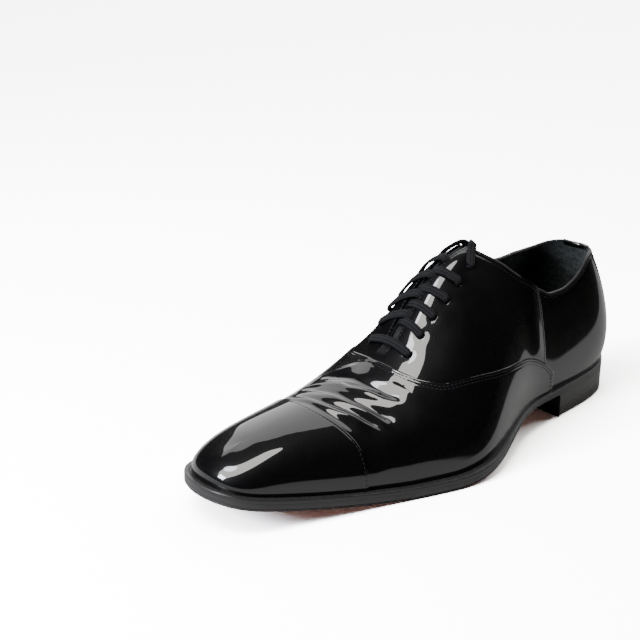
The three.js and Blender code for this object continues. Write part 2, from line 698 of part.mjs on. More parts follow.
const lacePoint = ([x, s, z]) => (z === undefined ? laceStop(s, x).at : new THREE.Vector3(x, -s, z));

function laceEndGeometry(points) {
  const path = new THREE.CatmullRomCurve3(points.map(lacePoint));
  const steps = 16;
  const { tangents, normals, binormals } = path.computeFrenetFrames(steps, false);
  const [startX, startS] = points[0];
  const flatWay = tangents[0].clone().cross(laceStop(startS, startX).up);
  const turn = Math.atan2(flatWay.dot(binormals[0]), flatWay.dot(normals[0]));
  const centre = new THREE.Vector2();
  const section = sectionPoints.map(([a, b]) => new THREE.Vector2(a, b).rotateAround(centre, turn));
  return new THREE.ExtrudeGeometry(new THREE.Shape(section), { steps, extrudePath: path });
}

function laceTipGeometry(points) {
  const [before, end] = points.slice(-2).map(lacePoint);
  const run = end.clone().sub(before).normalize();
  const away = run.clone().negate();
  const radius = TIP_WIDTH / 2;
  const tip = new THREE.CylinderGeometry(radius, radius * TIP_TAPER, TIP_LENGTH, ROUND_SIDES);
  tip.applyQuaternion(new THREE.Quaternion().setFromUnitVectors(new THREE.Vector3(0, 1, 0), away));
  tip.translate(...end.addScaledVector(run, GAP + TIP_LENGTH / 2).toArray());
  return tip;
}

const leather = (color, roughness) => new THREE.MeshStandardMaterial({ color, roughness, metalness: 0 });
const patent = leather(0x08080a, 0.08);
const lining = leather(0x161b1c, 0.9);
const insoleLeather = leather(0x1b1f20, 0.8);
const soleLeather = leather(0x4a241c, 0.5);
const edgeLeather = leather(0x0d0d0e, 0.5);
const rubber = leather(0x24170f, 0.7);
const laceCotton = leather(0x0c0c10, 0.85);
const tipPlastic = leather(0x0a0a0a, 0.3);

const shoe = new THREE.Group();
function place(name, geometry, material) {
  const mesh = new THREE.Mesh(geometry, material);
  mesh.name = name;
  shoe.add(mesh);
}

place('upper', upperGeometry(), patent);
place('tongue', tongueGeometry(), lining);
place('insole', insoleGeometry(), insoleLeather);
place('welt', weltGeometry(), edgeLeather);
place('outsole', outsoleGeometry(), soleLeather);
place('heel_stack', heelStackGeometry(), edgeLeather);
place('top_lift', topLiftGeometry(), rubber);
place('lace_bar', crossingGeometry(eyeletS[0], 0), laceCotton);
eyeletS.slice(1, -1).forEach((s, i) => {
  place(`lace_crossing_${i + 1}`, crossingGeometry(s, LACE_LEAN), laceCotton);
});
place('lace_end_outer', laceEndGeometry(OUTER_END), laceCotton);
place('lace_end_inner', laceEndGeometry(INNER_END), laceCotton);
place('lace_tip_outer', laceTipGeometry(OUTER_END), tipPlastic);
place('lace_tip_inner', laceTipGeometry(INNER_END), tipPlastic);

// The origin is under the middle of the whole shoe, on the ground
const middle = new THREE.Box3().setFromObject(shoe).getCenter(new THREE.Vector3());
shoe.position.set(-middle.x, -middle.y, 0);

const group = new THREE.Group();
group.add(shoe);
export default group;
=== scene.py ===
"""Left lace-up dress shoe in black patent leather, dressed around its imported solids."""

import json
import math

import bmesh
import bpy
import numpy as np
from bpy.props import FloatProperty, FloatVectorProperty, PointerProperty
from mathutils import Matrix, Vector
from mathutils.bvhtree import BVHTree
from mathutils.kdtree import KDTree


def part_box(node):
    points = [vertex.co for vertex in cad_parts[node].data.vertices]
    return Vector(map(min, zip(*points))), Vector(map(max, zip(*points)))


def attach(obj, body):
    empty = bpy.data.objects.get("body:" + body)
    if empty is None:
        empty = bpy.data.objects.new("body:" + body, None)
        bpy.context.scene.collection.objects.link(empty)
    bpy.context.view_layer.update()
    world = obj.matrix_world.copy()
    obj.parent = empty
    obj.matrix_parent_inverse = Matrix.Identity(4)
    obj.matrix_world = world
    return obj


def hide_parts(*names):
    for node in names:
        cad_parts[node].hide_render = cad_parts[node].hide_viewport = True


bl_info = {
    "name": "Oxford Shoe",
    "version": (1, 0, 0),
    "blender": (4, 5, 0),
    "location": "View3D > Sidebar > Shoe",
    "description": "Builds the finish of a patent leather oxford shoe around its solids",
    "category": "Add Mesh",
}

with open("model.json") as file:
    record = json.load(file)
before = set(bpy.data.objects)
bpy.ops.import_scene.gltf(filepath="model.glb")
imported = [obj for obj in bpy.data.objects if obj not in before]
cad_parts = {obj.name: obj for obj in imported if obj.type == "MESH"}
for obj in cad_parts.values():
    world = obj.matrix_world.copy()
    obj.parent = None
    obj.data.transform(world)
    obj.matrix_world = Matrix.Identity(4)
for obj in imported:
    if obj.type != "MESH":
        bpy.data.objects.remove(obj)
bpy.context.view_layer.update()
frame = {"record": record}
FINISH = {row["slot"]: row["base_color"] for row in frame["record"]["materials"]}
MM = 0.001

# Driving sizes of the last, in millimetres as in the shoe's source
LENGTH = 312
BALL_WIDTH = 100
INSTEP_HEIGHT = 100
HEEL_HEIGHT = 14.8
SEAT_RISE = 1.1
TOE_SPRING = 16
TOE_CURVE = 1.4
SOLE = 4.6
SHANK_SOLE = 2.7
WELT = 2.2
SHANK_WELT = 1.5
WELT_SEAT = 5
EDGE = 4.6
INSOLE = 2.4
LIFT = 6
HEEL_INSET = 0.3
HEEL_TAPER = 1.2
BREAST_LEAN = 1.5
WALL = 2.8
CAP_LAP = 0.8
VAMP_LAP = 0.8
QUARTER_LAP = 0.5
TONGUE = 1.8
TONGUE_WIDTH = 38
TONGUE_CLEAR = 0.8
EYELETS = 6
EYELET_HOLE = 3.4
FACING = 13.5
GAP = 0.3

# Places along the shoe, as shares of its length
AT = {
    "heelSeat": 0.2885, "tread": 0.5897, "treadFront": 0.657, "shank": 0.3205, "forepart": 0.5128,
    "breast": 0.2276, "slotEnd": 0.5890, "tongueTop": 0.3927, "tongueEnd": 0.6235,
    "firstEyelet": 0.5716, "lastEyelet": 0.4138,
}

# Sections of the last from heel to toe, as shares of LENGTH, BALL_WIDTH, INSTEP_HEIGHT and EDGE
COLUMNS = ["along", "outer", "inner", "edge", "upright", "flareOuter", "flareInner",
           "ridgeAlong", "ridge", "crown", "dip"]
SECTIONS = [
    [0.0239, 0.000, 0.000, 0.10, 0.208, 0.095, 0.075, 0.1353, 0.986, 0.275, 0.104],
    [0.0479, 0.180, 0.205, 0.10, 0.221, 0.113, 0.066, 0.1419, 0.977, 0.232, 0.120],
    [0.1184, 0.276, 0.296, 0.10, 0.260, 0.052, 0.042, 0.1674, 0.989, 0.202, 0.075],
    [0.2113, 0.315, 0.290, 0.25, 0.287, 0.034, 0.030, 0.2187, 0.996, 0.160, 0.060],
    [0.2947, 0.345, 0.250, 0.40, 0.292, 0.040, 0.050, 0.2764, 1.005, 0.160, 0.040],
    [0.3656, 0.412, 0.233, 0.42, 0.284, 0.054, 0.080, 0.3278, 0.993, 0.160, 0.020],
    [0.4430, 0.515, 0.290, 0.70, 0.272, 0.040, 0.087, 0.3927, 0.961, 0.173, 0.000],
    [0.5140, 0.572, 0.385, 0.97, 0.262, 0.034, 0.087, 0.4711, 0.892, 0.190, 0.000],
    [0.5879, 0.545, 0.475, 1.00, 0.233, 0.034, 0.068, 0.5645, 0.634, 0.278, 0.000],
    [0.6681, 0.473, 0.508, 1.00, 0.216, 0.030, 0.050, 0.6532, 0.462, 0.261, 0.000],
    [0.7480, 0.402, 0.462, 1.00, 0.167, 0.020, 0.030, 0.7436, 0.387, 0.247, 0.000],
    [0.8342, 0.330, 0.389, 1.00, 0.147, 0.020, 0.033, 0.8209, 0.327, 0.220, 0.000],
    [0.9050, 0.263, 0.330, 1.00, 0.130, 0.020, 0.035, 0.8790, 0.264, 0.173, 0.000],
    [0.9632, 0.170, 0.220, 1.05, 0.096, 0.018, 0.018, 0.9083, 0.219, 0.117, 0.000],
    [0.9832, -0.02, 0.020, 1.13, 0.096, 0.017, 0.017, 0.9212, 0.201, 0.108, 0.000],
]

# Top line: share of LENGTH, then the heights of outer and inner side above the welt as shares of INSTEP_HEIGHT
COLLAR = [
    [0.000, 0.678, 0.678], [0.056, 0.686, 0.686], [0.081, 0.695, 0.707], [0.101, 0.688, 0.702],
    [0.120, 0.663, 0.689], [0.141, 0.624, 0.680], [0.167, 0.588, 0.681], [0.197, 0.567, 0.687],
    [0.227, 0.570, 0.686], [0.257, 0.615, 0.692], [0.282, 0.671, 0.715], [0.304, 0.722, 0.748],
    [0.325, 0.777, 0.792], [0.345, 0.838, 0.842], [0.367, 0.893, 0.898], [0.379, 0.922, 0.926],
    [0.397, 0.961, 0.961], [0.428, 1.044, 1.044],
]

# Lacing slot: share of LENGTH, outer edge, inner edge and the eyelets' distance from it as shares of FACING
SLOT = [
    [0.359, 0.16, 0.20, 0.72], [0.396, 0.16, 0.22, 0.72], [0.414, 0.13, 0.26, 0.72], [0.438, 0.10, 0.30, 0.95],
    [0.450, 0.09, 0.33, 1.00], [0.480, 0.07, 0.41, 1.10], [0.513, 0.08, 0.44, 1.05], [0.542, 0.13, 0.38, 0.97],
    [0.572, 0.20, 0.24, 0.93], [0.584, 0.14, 0.14, 0.93], [AT["slotEnd"], 0, 0, 0.93],
]

# Seam of the vamp over the quarters: station, then the share of the way up from welt to ridge
VAMP_SEAM = [
    [3.40, 0.120], [3.73, 0.188], [4.45, 0.256], [5.70, 0.325], [6.88, 0.400], [7.73, 0.513], [8.15, 0.650],
    [8.27, 0.725], [8.35, 0.800], [8.40, 0.890], [8.43, 1.000],
]

# Stations round the shoe, counted in sections from the heel curve
TIP = len(SECTIONS) - 1
ROUND = 2 * TIP
WING = VAMP_SEAM[0][0]
SIDE_SEAM = 3.68
NEAR_THROAT = 8.0
THROAT = VAMP_SEAM[-1][0]
CAP_SEAM = 9.95
INSTEP = (4, TIP - 3)
CROWN = 0.4
END_STATIONS = 4
FAN_STATIONS = 3
TOE_SLOPE = 0.3
CAP_LEAN = 0.42
CAP_LEAN_FROM = 0.35
CAP_LEAN_STATIONS = 1.2
BELOW_RIDGE = 0.985
LEVEL_SHARE = 0.04
STEP = 1e-3


def smooth(t):
    w = np.clip(t, 0, 1)
    return w * w * (3 - 2 * w)


def rising(place, start, length):
    return smooth((place - start) / length)


def mix(a, b, t):
    return a + (b - a) * t


def unit(vectors):
    return vectors / np.linalg.norm(vectors, axis=-1, keepdims=True)


def profile(rows, column=1):
    """A curve through rows of place and value, with the gentler of the two slopes at each row"""
    table = np.array(rows, float)
    place, value = table[:, 0], table[:, column]
    secant = np.diff(value) / np.diff(place)
    a, b = secant[:-1], secant[1:]
    same_way = a * b > 0
    inner = np.where(same_way, 2 * a * b / np.where(same_way, a + b, 1), 0)
    slope = np.concatenate([secant[:1], inner, secant[-1:]])

    def at(where):
        where = np.asarray(where, float)
        i = np.clip(np.searchsorted(place[1:], where), 0, len(place) - 2)
        span = place[i + 1] - place[i]
        t = np.clip((where - place[i]) / span, 0, 1)
        bend = slope[i] * (1 - t) - slope[i + 1] * t
        return value[i] + (value[i + 1] - value[i]) * smooth(t) + span * t * (1 - t) * bend

    return at


def closed_curve(values):
    """A smooth closed curve through values at whole stations round the shoe"""
    count = len(values)
    control = np.array(values, float)
    for _ in range(50):
        control = (6 * np.array(values) - np.roll(control, 1) - np.roll(control, -1)) / 4

    def at(u):
        i = np.floor(u).astype(int)
        t = u - i
        r = 1 - t
        before, here, after, beyond = (control[(i + k) % count] for k in (-1, 0, 1, 2))
        middle = (3 * t**3 - 6 * t * t + 4) * here + (3 * r**3 - 6 * r * r + 4) * after
        return (r**3 * before + middle + t**3 * beyond) / 6

    return at


def around_shoe(outer, inner, size, inner_sign=1):
    """A column for each side of the shoe as one curve round it"""
    outer_side = [row[COLUMNS.index(outer)] * size for row in SECTIONS]
    inner_side = [inner_sign * row[COLUMNS.index(inner)] * size for row in SECTIONS[1:-1]]
    return closed_curve(outer_side + inner_side[::-1])


feather_x = around_shoe("outer", "inner", BALL_WIDTH, -1)
feather_s = around_shoe("along", "along", LENGTH)
edge = around_shoe("edge", "edge", EDGE)
upright = around_shoe("upright", "upright", INSTEP_HEIGHT)
flare = around_shoe("flareOuter", "flareInner", BALL_WIDTH)
ridge_s = around_shoe("ridgeAlong", "ridgeAlong", LENGTH)
ridge = around_shoe("ridge", "ridge", INSTEP_HEIGHT)
crown = around_shoe("crown", "crown", BALL_WIDTH)
dip = around_shoe("dip", "dip", INSTEP_HEIGHT)
seam_share = profile(VAMP_SEAM)
collar_heights = [profile(COLLAR, 1), profile(COLLAR, 2)]
slot_edges = [profile(SLOT, 1), profile(SLOT, 2)]
beside_slot = profile(SLOT, 3)


def bottom(s):
    """Height of the sole's underside: seat, arch over the shank, flat tread and the spring of the toe"""
    shank = (AT["tread"] * LENGTH - s) / ((AT["tread"] - AT["heelSeat"]) * LENGTH)
    toe = np.maximum((s / LENGTH - AT["treadFront"]) / (1 - AT["treadFront"]), 0)
    seat = np.maximum(1 - s / (AT["heelSeat"] * LENGTH), 0)
    return HEEL_HEIGHT * smooth(shank) + SEAT_RISE * seat + TOE_SPRING * toe**TOE_CURVE


def forepart(s):
    return smooth((s / LENGTH - AT["shank"]) / (AT["forepart"] - AT["shank"]))


def sole_top(s):
    return bottom(s) + mix(SHANK_SOLE, SOLE, forepart(s))


def welt_top(s):
    return sole_top(s) + GAP + mix(SHANK_WELT, WELT, forepart(s))


def feather_height(s):
    return welt_top(s) + GAP


def turn_round(u):
    return np.mod(u, ROUND)


def station_of(u):
    return np.where(turn_round(u) > TIP, ROUND - turn_round(u), turn_round(u))


def is_inner(u):
    return turn_round(u) > TIP


def outward(u):
    """Outward direction of the last's bottom outline in plan"""
    run = np.stack([feather_x(u + STEP) - feather_x(u - STEP), feather_s(u + STEP) - feather_s(u - STEP)], -1)
    run = unit(run)
    return run[..., 1], -run[..., 0]


def last(u, v):
    """The last's surface: u runs round the shoe from the heel curve, v from the welt up to the ridge"""
    nx, ns = outward(u)
    station = station_of(u)
    side = np.where(is_inner(u), -1.0, 1.0)
    fan = smooth((END_STATIONS - np.minimum(station, TIP - station)) / FAN_STATIONS)
    s = feather_s(u)
    top_s = ridge_s(u)
    top_z = feather_height(top_s) + ridge(u)
    forward = ns * fan * crown(u)
    slope = np.where(station > TIP / 2, TOE_SLOPE, 0)
    foot = np.stack([feather_x(u), s, feather_height(s)], -1)
    low = foot + np.stack([nx * flare(u), ns * flare(u), upright(u)], -1)
    high = np.stack([mix(side, nx, fan) * crown(u), top_s + forward, top_z - forward * slope - dip(u)], -1)
    top = np.stack([np.zeros_like(top_s), top_s, top_z], -1)
    w = 1 - v
    shares = (w**3, 3 * w * w * v, 3 * w * v * v, v**3)
    return sum(share[..., None] * point for share, point in zip(shares, (foot, low, high, top)))


def on_last(u, v):
    """The same surface with its columns leaning forward at the cap seam"""
    near = np.exp(-(((station_of(u) - CAP_SEAM) / CAP_LEAN_STATIONS) ** 2))
    shift = CAP_LEAN * near * smooth((v - CAP_LEAN_FROM) / (1 - CAP_LEAN_FROM))
    return last(np.where(is_inner(u), u - shift, u + shift), v)


def normal(u, v):
    """Outward direction: level at the welt, and upright in x where the two sides meet on the ridge"""
    high = np.minimum(v, BELOW_RIDGE)
    along = on_last(u + STEP, high) - on_last(u - STEP, high)
    up = on_last(u, high + STEP) - on_last(u, high - STEP)
    steep = unit(np.cross(along, up))
    nx, ns = outward(u)
    level = np.stack([nx, ns, np.zeros_like(nx)], -1)
    turned = mix(steep, level, (1 - smooth(v / LEVEL_SHARE))[..., None])
    turned[..., 0] *= np.where(v > BELOW_RIDGE, (1 - v) / (1 - BELOW_RIDGE), 1)
    return unit(turned)


def outline(u, inset):
    """The last's bottom outline in plan, moved in by an inset"""
    nx, ns = outward(u)
    return feather_x(u) - nx * inset, feather_s(u) - ns * inset


def shift_to_frame():
    """How far the frame's origin is from the shoe's own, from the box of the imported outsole"""
    stations = TIP * np.arange(41) / 40
    around = np.concatenate([stations, ROUND - stations])
    x, s = outline(around, -edge(around))
    low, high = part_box("outsole")
    return (
        (low.x + high.x) / 2 / MM - (x.min() + x.max()) / 2,
        (low.y + high.y) / 2 / MM + (s.min() + s.max()) / 2,
    )


SHIFT = shift_to_frame()


def to_frame(points):
    """Points given as x, distance from the heel curve and height in mm, in the frame's metres"""
    x, s, z = points[..., 0], points[..., 1], points[..., 2]
    return np.stack([x + SHIFT[0], SHIFT[1] - s, z], -1) * MM


def turned_to_frame(vectors):
    return vectors * np.array([1, -1, 1])


def skin(u, v, lift):
    """Points lifted off the last by a height in mm, in the frame"""
    u, v, lift = np.broadcast_arrays(np.asarray(u, float), np.asarray(v, float), np.asarray(lift, float))
    return to_frame(on_last(u, v) + normal(u, v) * lift[..., None])


def solve(f, low, high):
    """Root of a rising function between two bounds, at each place of an array"""
    a, b = np.array(low, float), np.array(high, float)
    for _ in range(36):
        middle = (a + b) / 2
        less = f(middle) < 0
        a, b = np.where(less, middle, a), np.where(less, b, middle)
    return (a + b) / 2


def collar_top(u):
    """Share of the way up at which the top line cuts the upper"""
    def over(v):
        point = on_last(u, v)
        s = point[..., 1]
        share = np.where(is_inner(u), collar_heights[1](s / LENGTH), collar_heights[0](s / LENGTH))
        return point[..., 2] - feather_height(s) - share * INSTEP_HEIGHT

    cut = solve(over, np.zeros_like(u), np.ones_like(u))
    return np.where(over(np.ones_like(u)) < 0, 1, cut)


def slot_top(u):
    """Share of the way up at which the lacing slot cuts the upper"""
    def over(v):
        point = on_last(u, v)
        share = point[..., 1] / LENGTH
        cut = np.where(is_inner(u), slot_edges[1](share), slot_edges[0](share))
        return cut * FACING - np.abs(point[..., 0])

    return solve(over, np.full_like(u, CROWN), np.ones_like(u))


def one(value):
    return float(np.asarray(value).ravel()[0])


def ridge_station(share):
    return one(solve(lambda u: ridge_s(u) - share * LENGTH, [INSTEP[0]], [INSTEP[1]]))


SLOT_END = ridge_station(AT["slotEnd"])
FACING_TOP = one(solve(lambda u: collar_top(u) - slot_top(u), [INSTEP[0]], [SLOT_END]))
INNER_FACING_TOP = one(solve(lambda u: collar_top(ROUND - u) - slot_top(ROUND - u), [INSTEP[0]], [SLOT_END]))


def top_of(u):
    """Share of the way up at which the upper ends: at the collar, at the slot or on the ridge"""
    u = np.asarray(u, float)
    station = station_of(u)
    facing_top = np.where(is_inner(u), INNER_FACING_TOP, FACING_TOP)
    cut = np.where(station < facing_top, collar_top(u), slot_top(u))
    return np.where(station < SLOT_END - STEP, cut, 1)


def share_across(u, x):
    """Share of the way up at which the crown is x from the ridge line"""
    far = solve(lambda v: np.abs(x) - np.abs(on_last(u, v)[..., 0]), np.full_like(u, CROWN), np.ones_like(u))
    return np.where(np.abs(x) < STEP, 1, far)


RIDGE_STATIONS = np.linspace(*INSTEP, 60)
RIDGE_SAMPLES = (RIDGE_STATIONS, ridge_s(RIDGE_STATIONS))


def find_on_upper(s, x):
    """Station and share of places at a distance s along the shoe and x from the ridge line"""
    s, x = np.broadcast_arrays(np.asarray(s, float), np.asarray(x, float))
    side = np.where(x < 0, -1, 1)

    def from_place(station, share):
        point = on_last(np.where(side < 0, ROUND - station, station), share)
        return np.stack([point[..., 1] - s, side * point[..., 0] - np.abs(x)], -1)

    station = np.interp(s, RIDGE_SAMPLES[1], RIDGE_SAMPLES[0])
    share = 1 - np.abs(x) / 60
    for _ in range(14):
        off = from_place(station, share)
        along = (from_place(station + STEP, share) - off) / STEP
        up = (from_place(station, share + STEP) - off) / STEP
        size = along[..., 0] * up[..., 1] - along[..., 1] * up[..., 0]
        move = (off[..., 0] * up[..., 1] - off[..., 1] * up[..., 0]) / size
        rise = (off[..., 1] * along[..., 0] - off[..., 0] * along[..., 1]) / size
        station = np.clip(station - np.clip(move, -0.6, 0.6), *INSTEP)
        share = np.clip(share - np.clip(rise, -0.15, 0.15), CROWN, 1)
    return np.where(side < 0, ROUND - station, station), share


def even_along_ridge(start, end, count):
    """Distances s of places that stand in even steps along the ridge's slope"""
    stations = np.linspace(ridge_station(start), ridge_station(end), 121)
    points = on_last(stations, np.ones_like(stations))[:, 1:]
    run = np.concatenate([[0], np.cumsum(np.linalg.norm(np.diff(points, axis=0), axis=1))])
    return np.interp(np.linspace(0, run[-1], count), run, points[:, 0])


EYELET_S = even_along_ridge(AT["firstEyelet"], AT["lastEyelet"], EYELETS)


def eyelet_x(s, side):
    edge_share = slot_edges[0 if side > 0 else 1](s / LENGTH)
    return side * one((edge_share + beside_slot(s / LENGTH)) * FACING)


# Depth of each panel's skin below the vamp's surface
FRONT = -VAMP_LAP
BACK = -VAMP_LAP - QUARTER_LAP
INSIDE_HEEL = (-3.0, -0.5)


def wrap_lift(u):
    """The inner quarter lies a little deeper where it runs round the heel"""
    return mix(FRONT, BACK, smooth((u - INSIDE_HEEL[0]) / (INSIDE_HEEL[1] - INSIDE_HEEL[0])))


def settings():
    return bpy.context.scene.shoe_sizes


def colours():
    return bpy.context.scene.shoe_colours


# Laying flat pattern pieces on the last

def stops(corners, spacing):
    """Stops with a given spacing and one on each corner"""
    runs = [np.linspace(a, b, max(math.ceil((b - a) / spacing), 1), endpoint=False)
            for a, b in zip(corners, corners[1:])]
    return np.concatenate([*runs, corners[-1:]])


def graded(count, power):
    """Stops from 0 to 1 that stand closer towards 1"""
    return 1 - (1 - np.linspace(0, 1, count)) ** power


def pattern(bm, columns, rows, place):
    """Cuts a flat sheet with its columns and rows, and lays it with place(column, row)"""
    bm.loops.layers.uv.verify()
    across, down = len(columns) - 1, len(rows) - 1
    made = bmesh.ops.create_grid(bm, x_segments=across, y_segments=down, size=1, calc_uvs=True)
    column, row = np.meshgrid(columns, rows)
    points = place(column.ravel(), row.ravel())
    for vert, point in zip(made["verts"], points.tolist()):
        vert.co = point
    bmesh.ops.reverse_faces(bm, faces=list({face for vert in made["verts"] for face in vert.link_faces}))


def turned(x, y):
    """Rotation with its first two axes along the given ones"""
    return Matrix((x, y, x.cross(y))).transposed().to_4x4()


def levelled(run):
    """Rotation with its first axis along a run and its second one level"""
    along = run.normalized()
    return turned(along, Vector((0, 0, 1)).cross(along).normalized())


def pointed(run):
    """Rotation with its third axis along a run"""
    return run.to_track_quat("Z", "Y").to_matrix().to_4x4()


def merged(bm, distance=0.004):
    bmesh.ops.remove_doubles(bm, verts=bm.verts, dist=distance * MM)
    bmesh.ops.dissolve_degenerate(bm, edges=bm.edges, dist=distance * MM / 4)
    return bm


def closed(bm, distance=0.004):
    """Joins the meeting edges of a laid sheet, fills its ends and turns its faces outwards"""
    merged(bm, distance)
    bmesh.ops.holes_fill(bm, edges=[e for e in bm.edges if e.is_boundary], sides=0)
    bmesh.ops.recalc_face_normals(bm, faces=bm.faces)
    return bm


def placed(name, bm):
    """An object of a mesh in work"""
    mesh = bpy.data.meshes.new(name)
    bm.to_mesh(mesh)
    bm.free()
    obj = bpy.data.objects.new(name, mesh)
    bpy.context.collection.objects.link(obj)
    return obj


def piece(name, bm, material, nodes=(), wall=0, round_edge=0, cutters=None, sharp=40):
    """Makes the piece from its mesh, with its wall and rounded edges, and sets it on the frame"""
    obj = placed(name, bm)
    mesh = obj.data
    if wall:
        solidify = obj.modifiers.new("wall", "SOLIDIFY")
        solidify.thickness = wall * MM
        solidify.offset = -1
    if cutters:
        holes = obj.modifiers.new("holes", "BOOLEAN")
        holes.operation = "DIFFERENCE"
        holes.solver = "EXACT"
        holes.object = cutters
    if round_edge:
        bevel = obj.modifiers.new("edges", "BEVEL")
        bevel.width = round_edge * MM
        bevel.segments = 2
        bevel.limit_method = "ANGLE"
        bevel.angle_limit = math.radians(50)
    if obj.modifiers:
        evaluated = obj.evaluated_get(bpy.context.evaluated_depsgraph_get())
        obj.data = bpy.data.meshes.new_from_object(evaluated)
        obj.data.name = name
        obj.modifiers.clear()
        bpy.data.meshes.remove(mesh)
    obj.data.shade_smooth()
    obj.data.set_sharp_from_angle(angle=math.radians(sharp))
    obj.data.materials.clear()
    obj.data.materials.append(material)
    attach(obj, "root")
    if nodes:
        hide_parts(*nodes)
    return obj


# Lines on the shoe, in the frame's metres

def even_line(points, step):
    """The same line with its points at even steps, in mm"""
    lengths = np.linalg.norm(np.diff(points, axis=0), axis=1)
    run = np.concatenate([[0], np.cumsum(lengths)])
    count = max(int(round(run[-1] / (step * MM))), 1)
    return np.stack([np.interp(np.linspace(0, run[-1], count + 1), run, points[:, k]) for k in range(3)], -1)


def distances(points, line):
    """Distance in mm of each point from a line"""
    dense = even_line(line, 0.4)
    tree = KDTree(len(dense))
    for i, point in enumerate(dense):
        tree.insert(point, i)
    tree.balance()
    return np.array([tree.find(point)[2] for point in points]) / MM


def vamp_seam_line(side, lift=0.0):
    stations = np.concatenate([np.full(12, WING), stops([WING, NEAR_THROAT], 0.04),
                               stops([NEAR_THROAT, THROAT], 0.01)])
    shares = np.concatenate([np.linspace(0, seam_share(WING), 12, endpoint=False), seam_share(stations[12:])])
    return skin(stations if side > 0 else ROUND - stations, shares, lift)


def cap_seam_line(lift=0.0):
    shares = np.linspace(0, 1, 60)
    outer = skin(np.full(60, CAP_SEAM), shares, lift)
    inner = skin(np.full(60, ROUND - CAP_SEAM), shares, lift)
    return np.concatenate([outer, inner[-2::-1]])


def side_seam_line(lift=FRONT):
    u = np.full(40, SIDE_SEAM)
    shares = np.linspace(seam_share(SIDE_SEAM), one(top_of(u[:1])), 40)
    return skin(u, shares, lift)


def top_line(start, end, lift):
    u = stops([start, end], 0.03)
    return skin(u, top_of(u), lift(u) if callable(lift) else lift)


# Creases of the vamp behind the cap: points of each fold as distance from the heel curve and x, then its
# half width and its height in mm, which is negative for a trough
CREASES = [
    ([(240, -12), (237.3, 8.2), (233.3, 19.9), (229.8, 28.2)], 2.0, -0.5),
    ([(241, -26), (239, -18), (236.6, -6.6), (234.6, 5.4), (231.4, 13.9), (226.3, 20.6), (222.8, 26), (218.4, 32)],
     2.0, 1.0),
    ([(234, -26), (232.8, -12), (231.4, 1.9), (229, 8.9), (225.3, 15.8), (221, 23.2), (217, 30.3), (214, 36)],
     1.8, -1.3),
    ([(226, -10), (223.5, 4.6), (220.9, 14.6), (217.4, 22.7), (213.6, 30.3), (210.7, 36)], 2.8, 0.7),
    ([(226, -24), (223, -8), (219, 11), (215.4, 18.5), (210.6, 27.8), (206.3, 35)], 2.0, -1.2),
    ([(227, -26), (220, -22), (215.9, -12.9), (210.9, 3.9), (206.6, 13), (201.3, 21.4)], 1.7, 0.9),
    ([(214, -4), (208.2, 8), (203, 18.5), (196.2, 29.8)], 1.8, -0.9),
    ([(210, -24), (207.4, -9), (205, 5), (201.4, 17), (196.2, 30)], 2.2, -1.1),
    ([(193.6, 17), (192, 22), (189.5, 28.5)], 1.7, -0.55),
    ([(209, -28), (204.4, -22.6), (199.6, -13.3), (195.7, -6.2)], 2.0, 0.6),
    ([(184, 42), (198, 41.5), (212, 39), (226, 35)], 9.5, 1.05),
]


# A fold leans to the toe: shares of its width on its long side and on its short side, with half the distance
# in mm between the two. A fold of BROAD_FOLD or more doesn't lean. All fade out over a share of their length.
FOLD_FRONT = 1.6
FOLD_BACK = 0.75
FOLD_TURN = 0.8
BROAD_FOLD = 5
FOLD_FADE = 0.22


def groove(distance, at, width, depth):
    return -depth * np.exp(-(((distance - at) / width) ** 2))


def crease_lift(points):
    """Soft troughs and ridges where the vamp folds in walking"""
    total = np.zeros(len(points))
    for fold, width, height in CREASES:
        rows = [(i, *place) for i, place in enumerate(fold)]
        fine = np.linspace(0, len(fold) - 1, 70)
        line = skin(*find_on_upper(profile(rows, 1)(fine), profile(rows, 2)(fine)), 0)
        apart = np.linalg.norm(points[:, None] - line[None], axis=2) / MM
        nearest = apart.argmin(1)
        share = fine[nearest] / fine[-1]
        fade = smooth(share / FOLD_FADE) * smooth((1 - share) / FOLD_FADE)
        past = (points[:, 1] - line[nearest, 1]) / MM * np.sign(height)
        lean = mix(FOLD_FRONT, FOLD_BACK, rising(past, -FOLD_TURN, 2 * FOLD_TURN))
        wide = width * lean if width < BROAD_FOLD else width
        total += height * fade * np.exp(-((apart.min(1) / wide) ** 2))
    return total * settings().crease_depth


# Panels of the upper

# Distances of the stitch rows from their edges, in mm
VAMP_ROWS = (1.5, 3.3)
CAP_ROW = 1.5
SIDE_ROW = 1.6
TOP_ROW = 3.0
SLOT_ROW = 1.1

# Relief of the panels: width and depth in mm, or distance from a line, width and depth. Minus is a swell.
ROLLED_EDGE = (0.45, 0.22)
SEAM_GROOVE = (0.38, 0.13)
TOP_GROOVE = (0.38, 0.1)
SLOT_GROOVE = (0.4, 0.12)
SIDE_SWELL = (8.5, 6.5, -1.2)
SLOT_SWELL = (4.5, 6.0, -0.6)
LOWER_HOLLOW = (23, 10, 0.75)
LOWER_SWELL = (7, 8, -0.25)
EYELET_DENT = (0, 3.4, 0.3)

# Where those fade, as start and length: in mm along the shoe, or as shares of the panel's height
SLOT_SWELL_ENDS = (166, 14)
HOLLOW_STARTS = (143, 10)
HOLLOW_ENDS = (168, 12)
SIDE_SWELL_STARTS = (0.06, 0.25)

# The panels reach a little below the welt's top, and a quarter a little under the vamp
BELOW_WELT = -0.012
UNDER_VAMP = -0.03
SURFACES = {}


def stitched(distance, rows=VAMP_ROWS):
    """Relief beside a seam: the edge rolled over, and the leather drawn in along its stitches"""
    width, depth = ROLLED_EDGE
    return sum((groove(distance, at, *SEAM_GROOVE) for at in rows), -depth * np.exp(-distance / width))


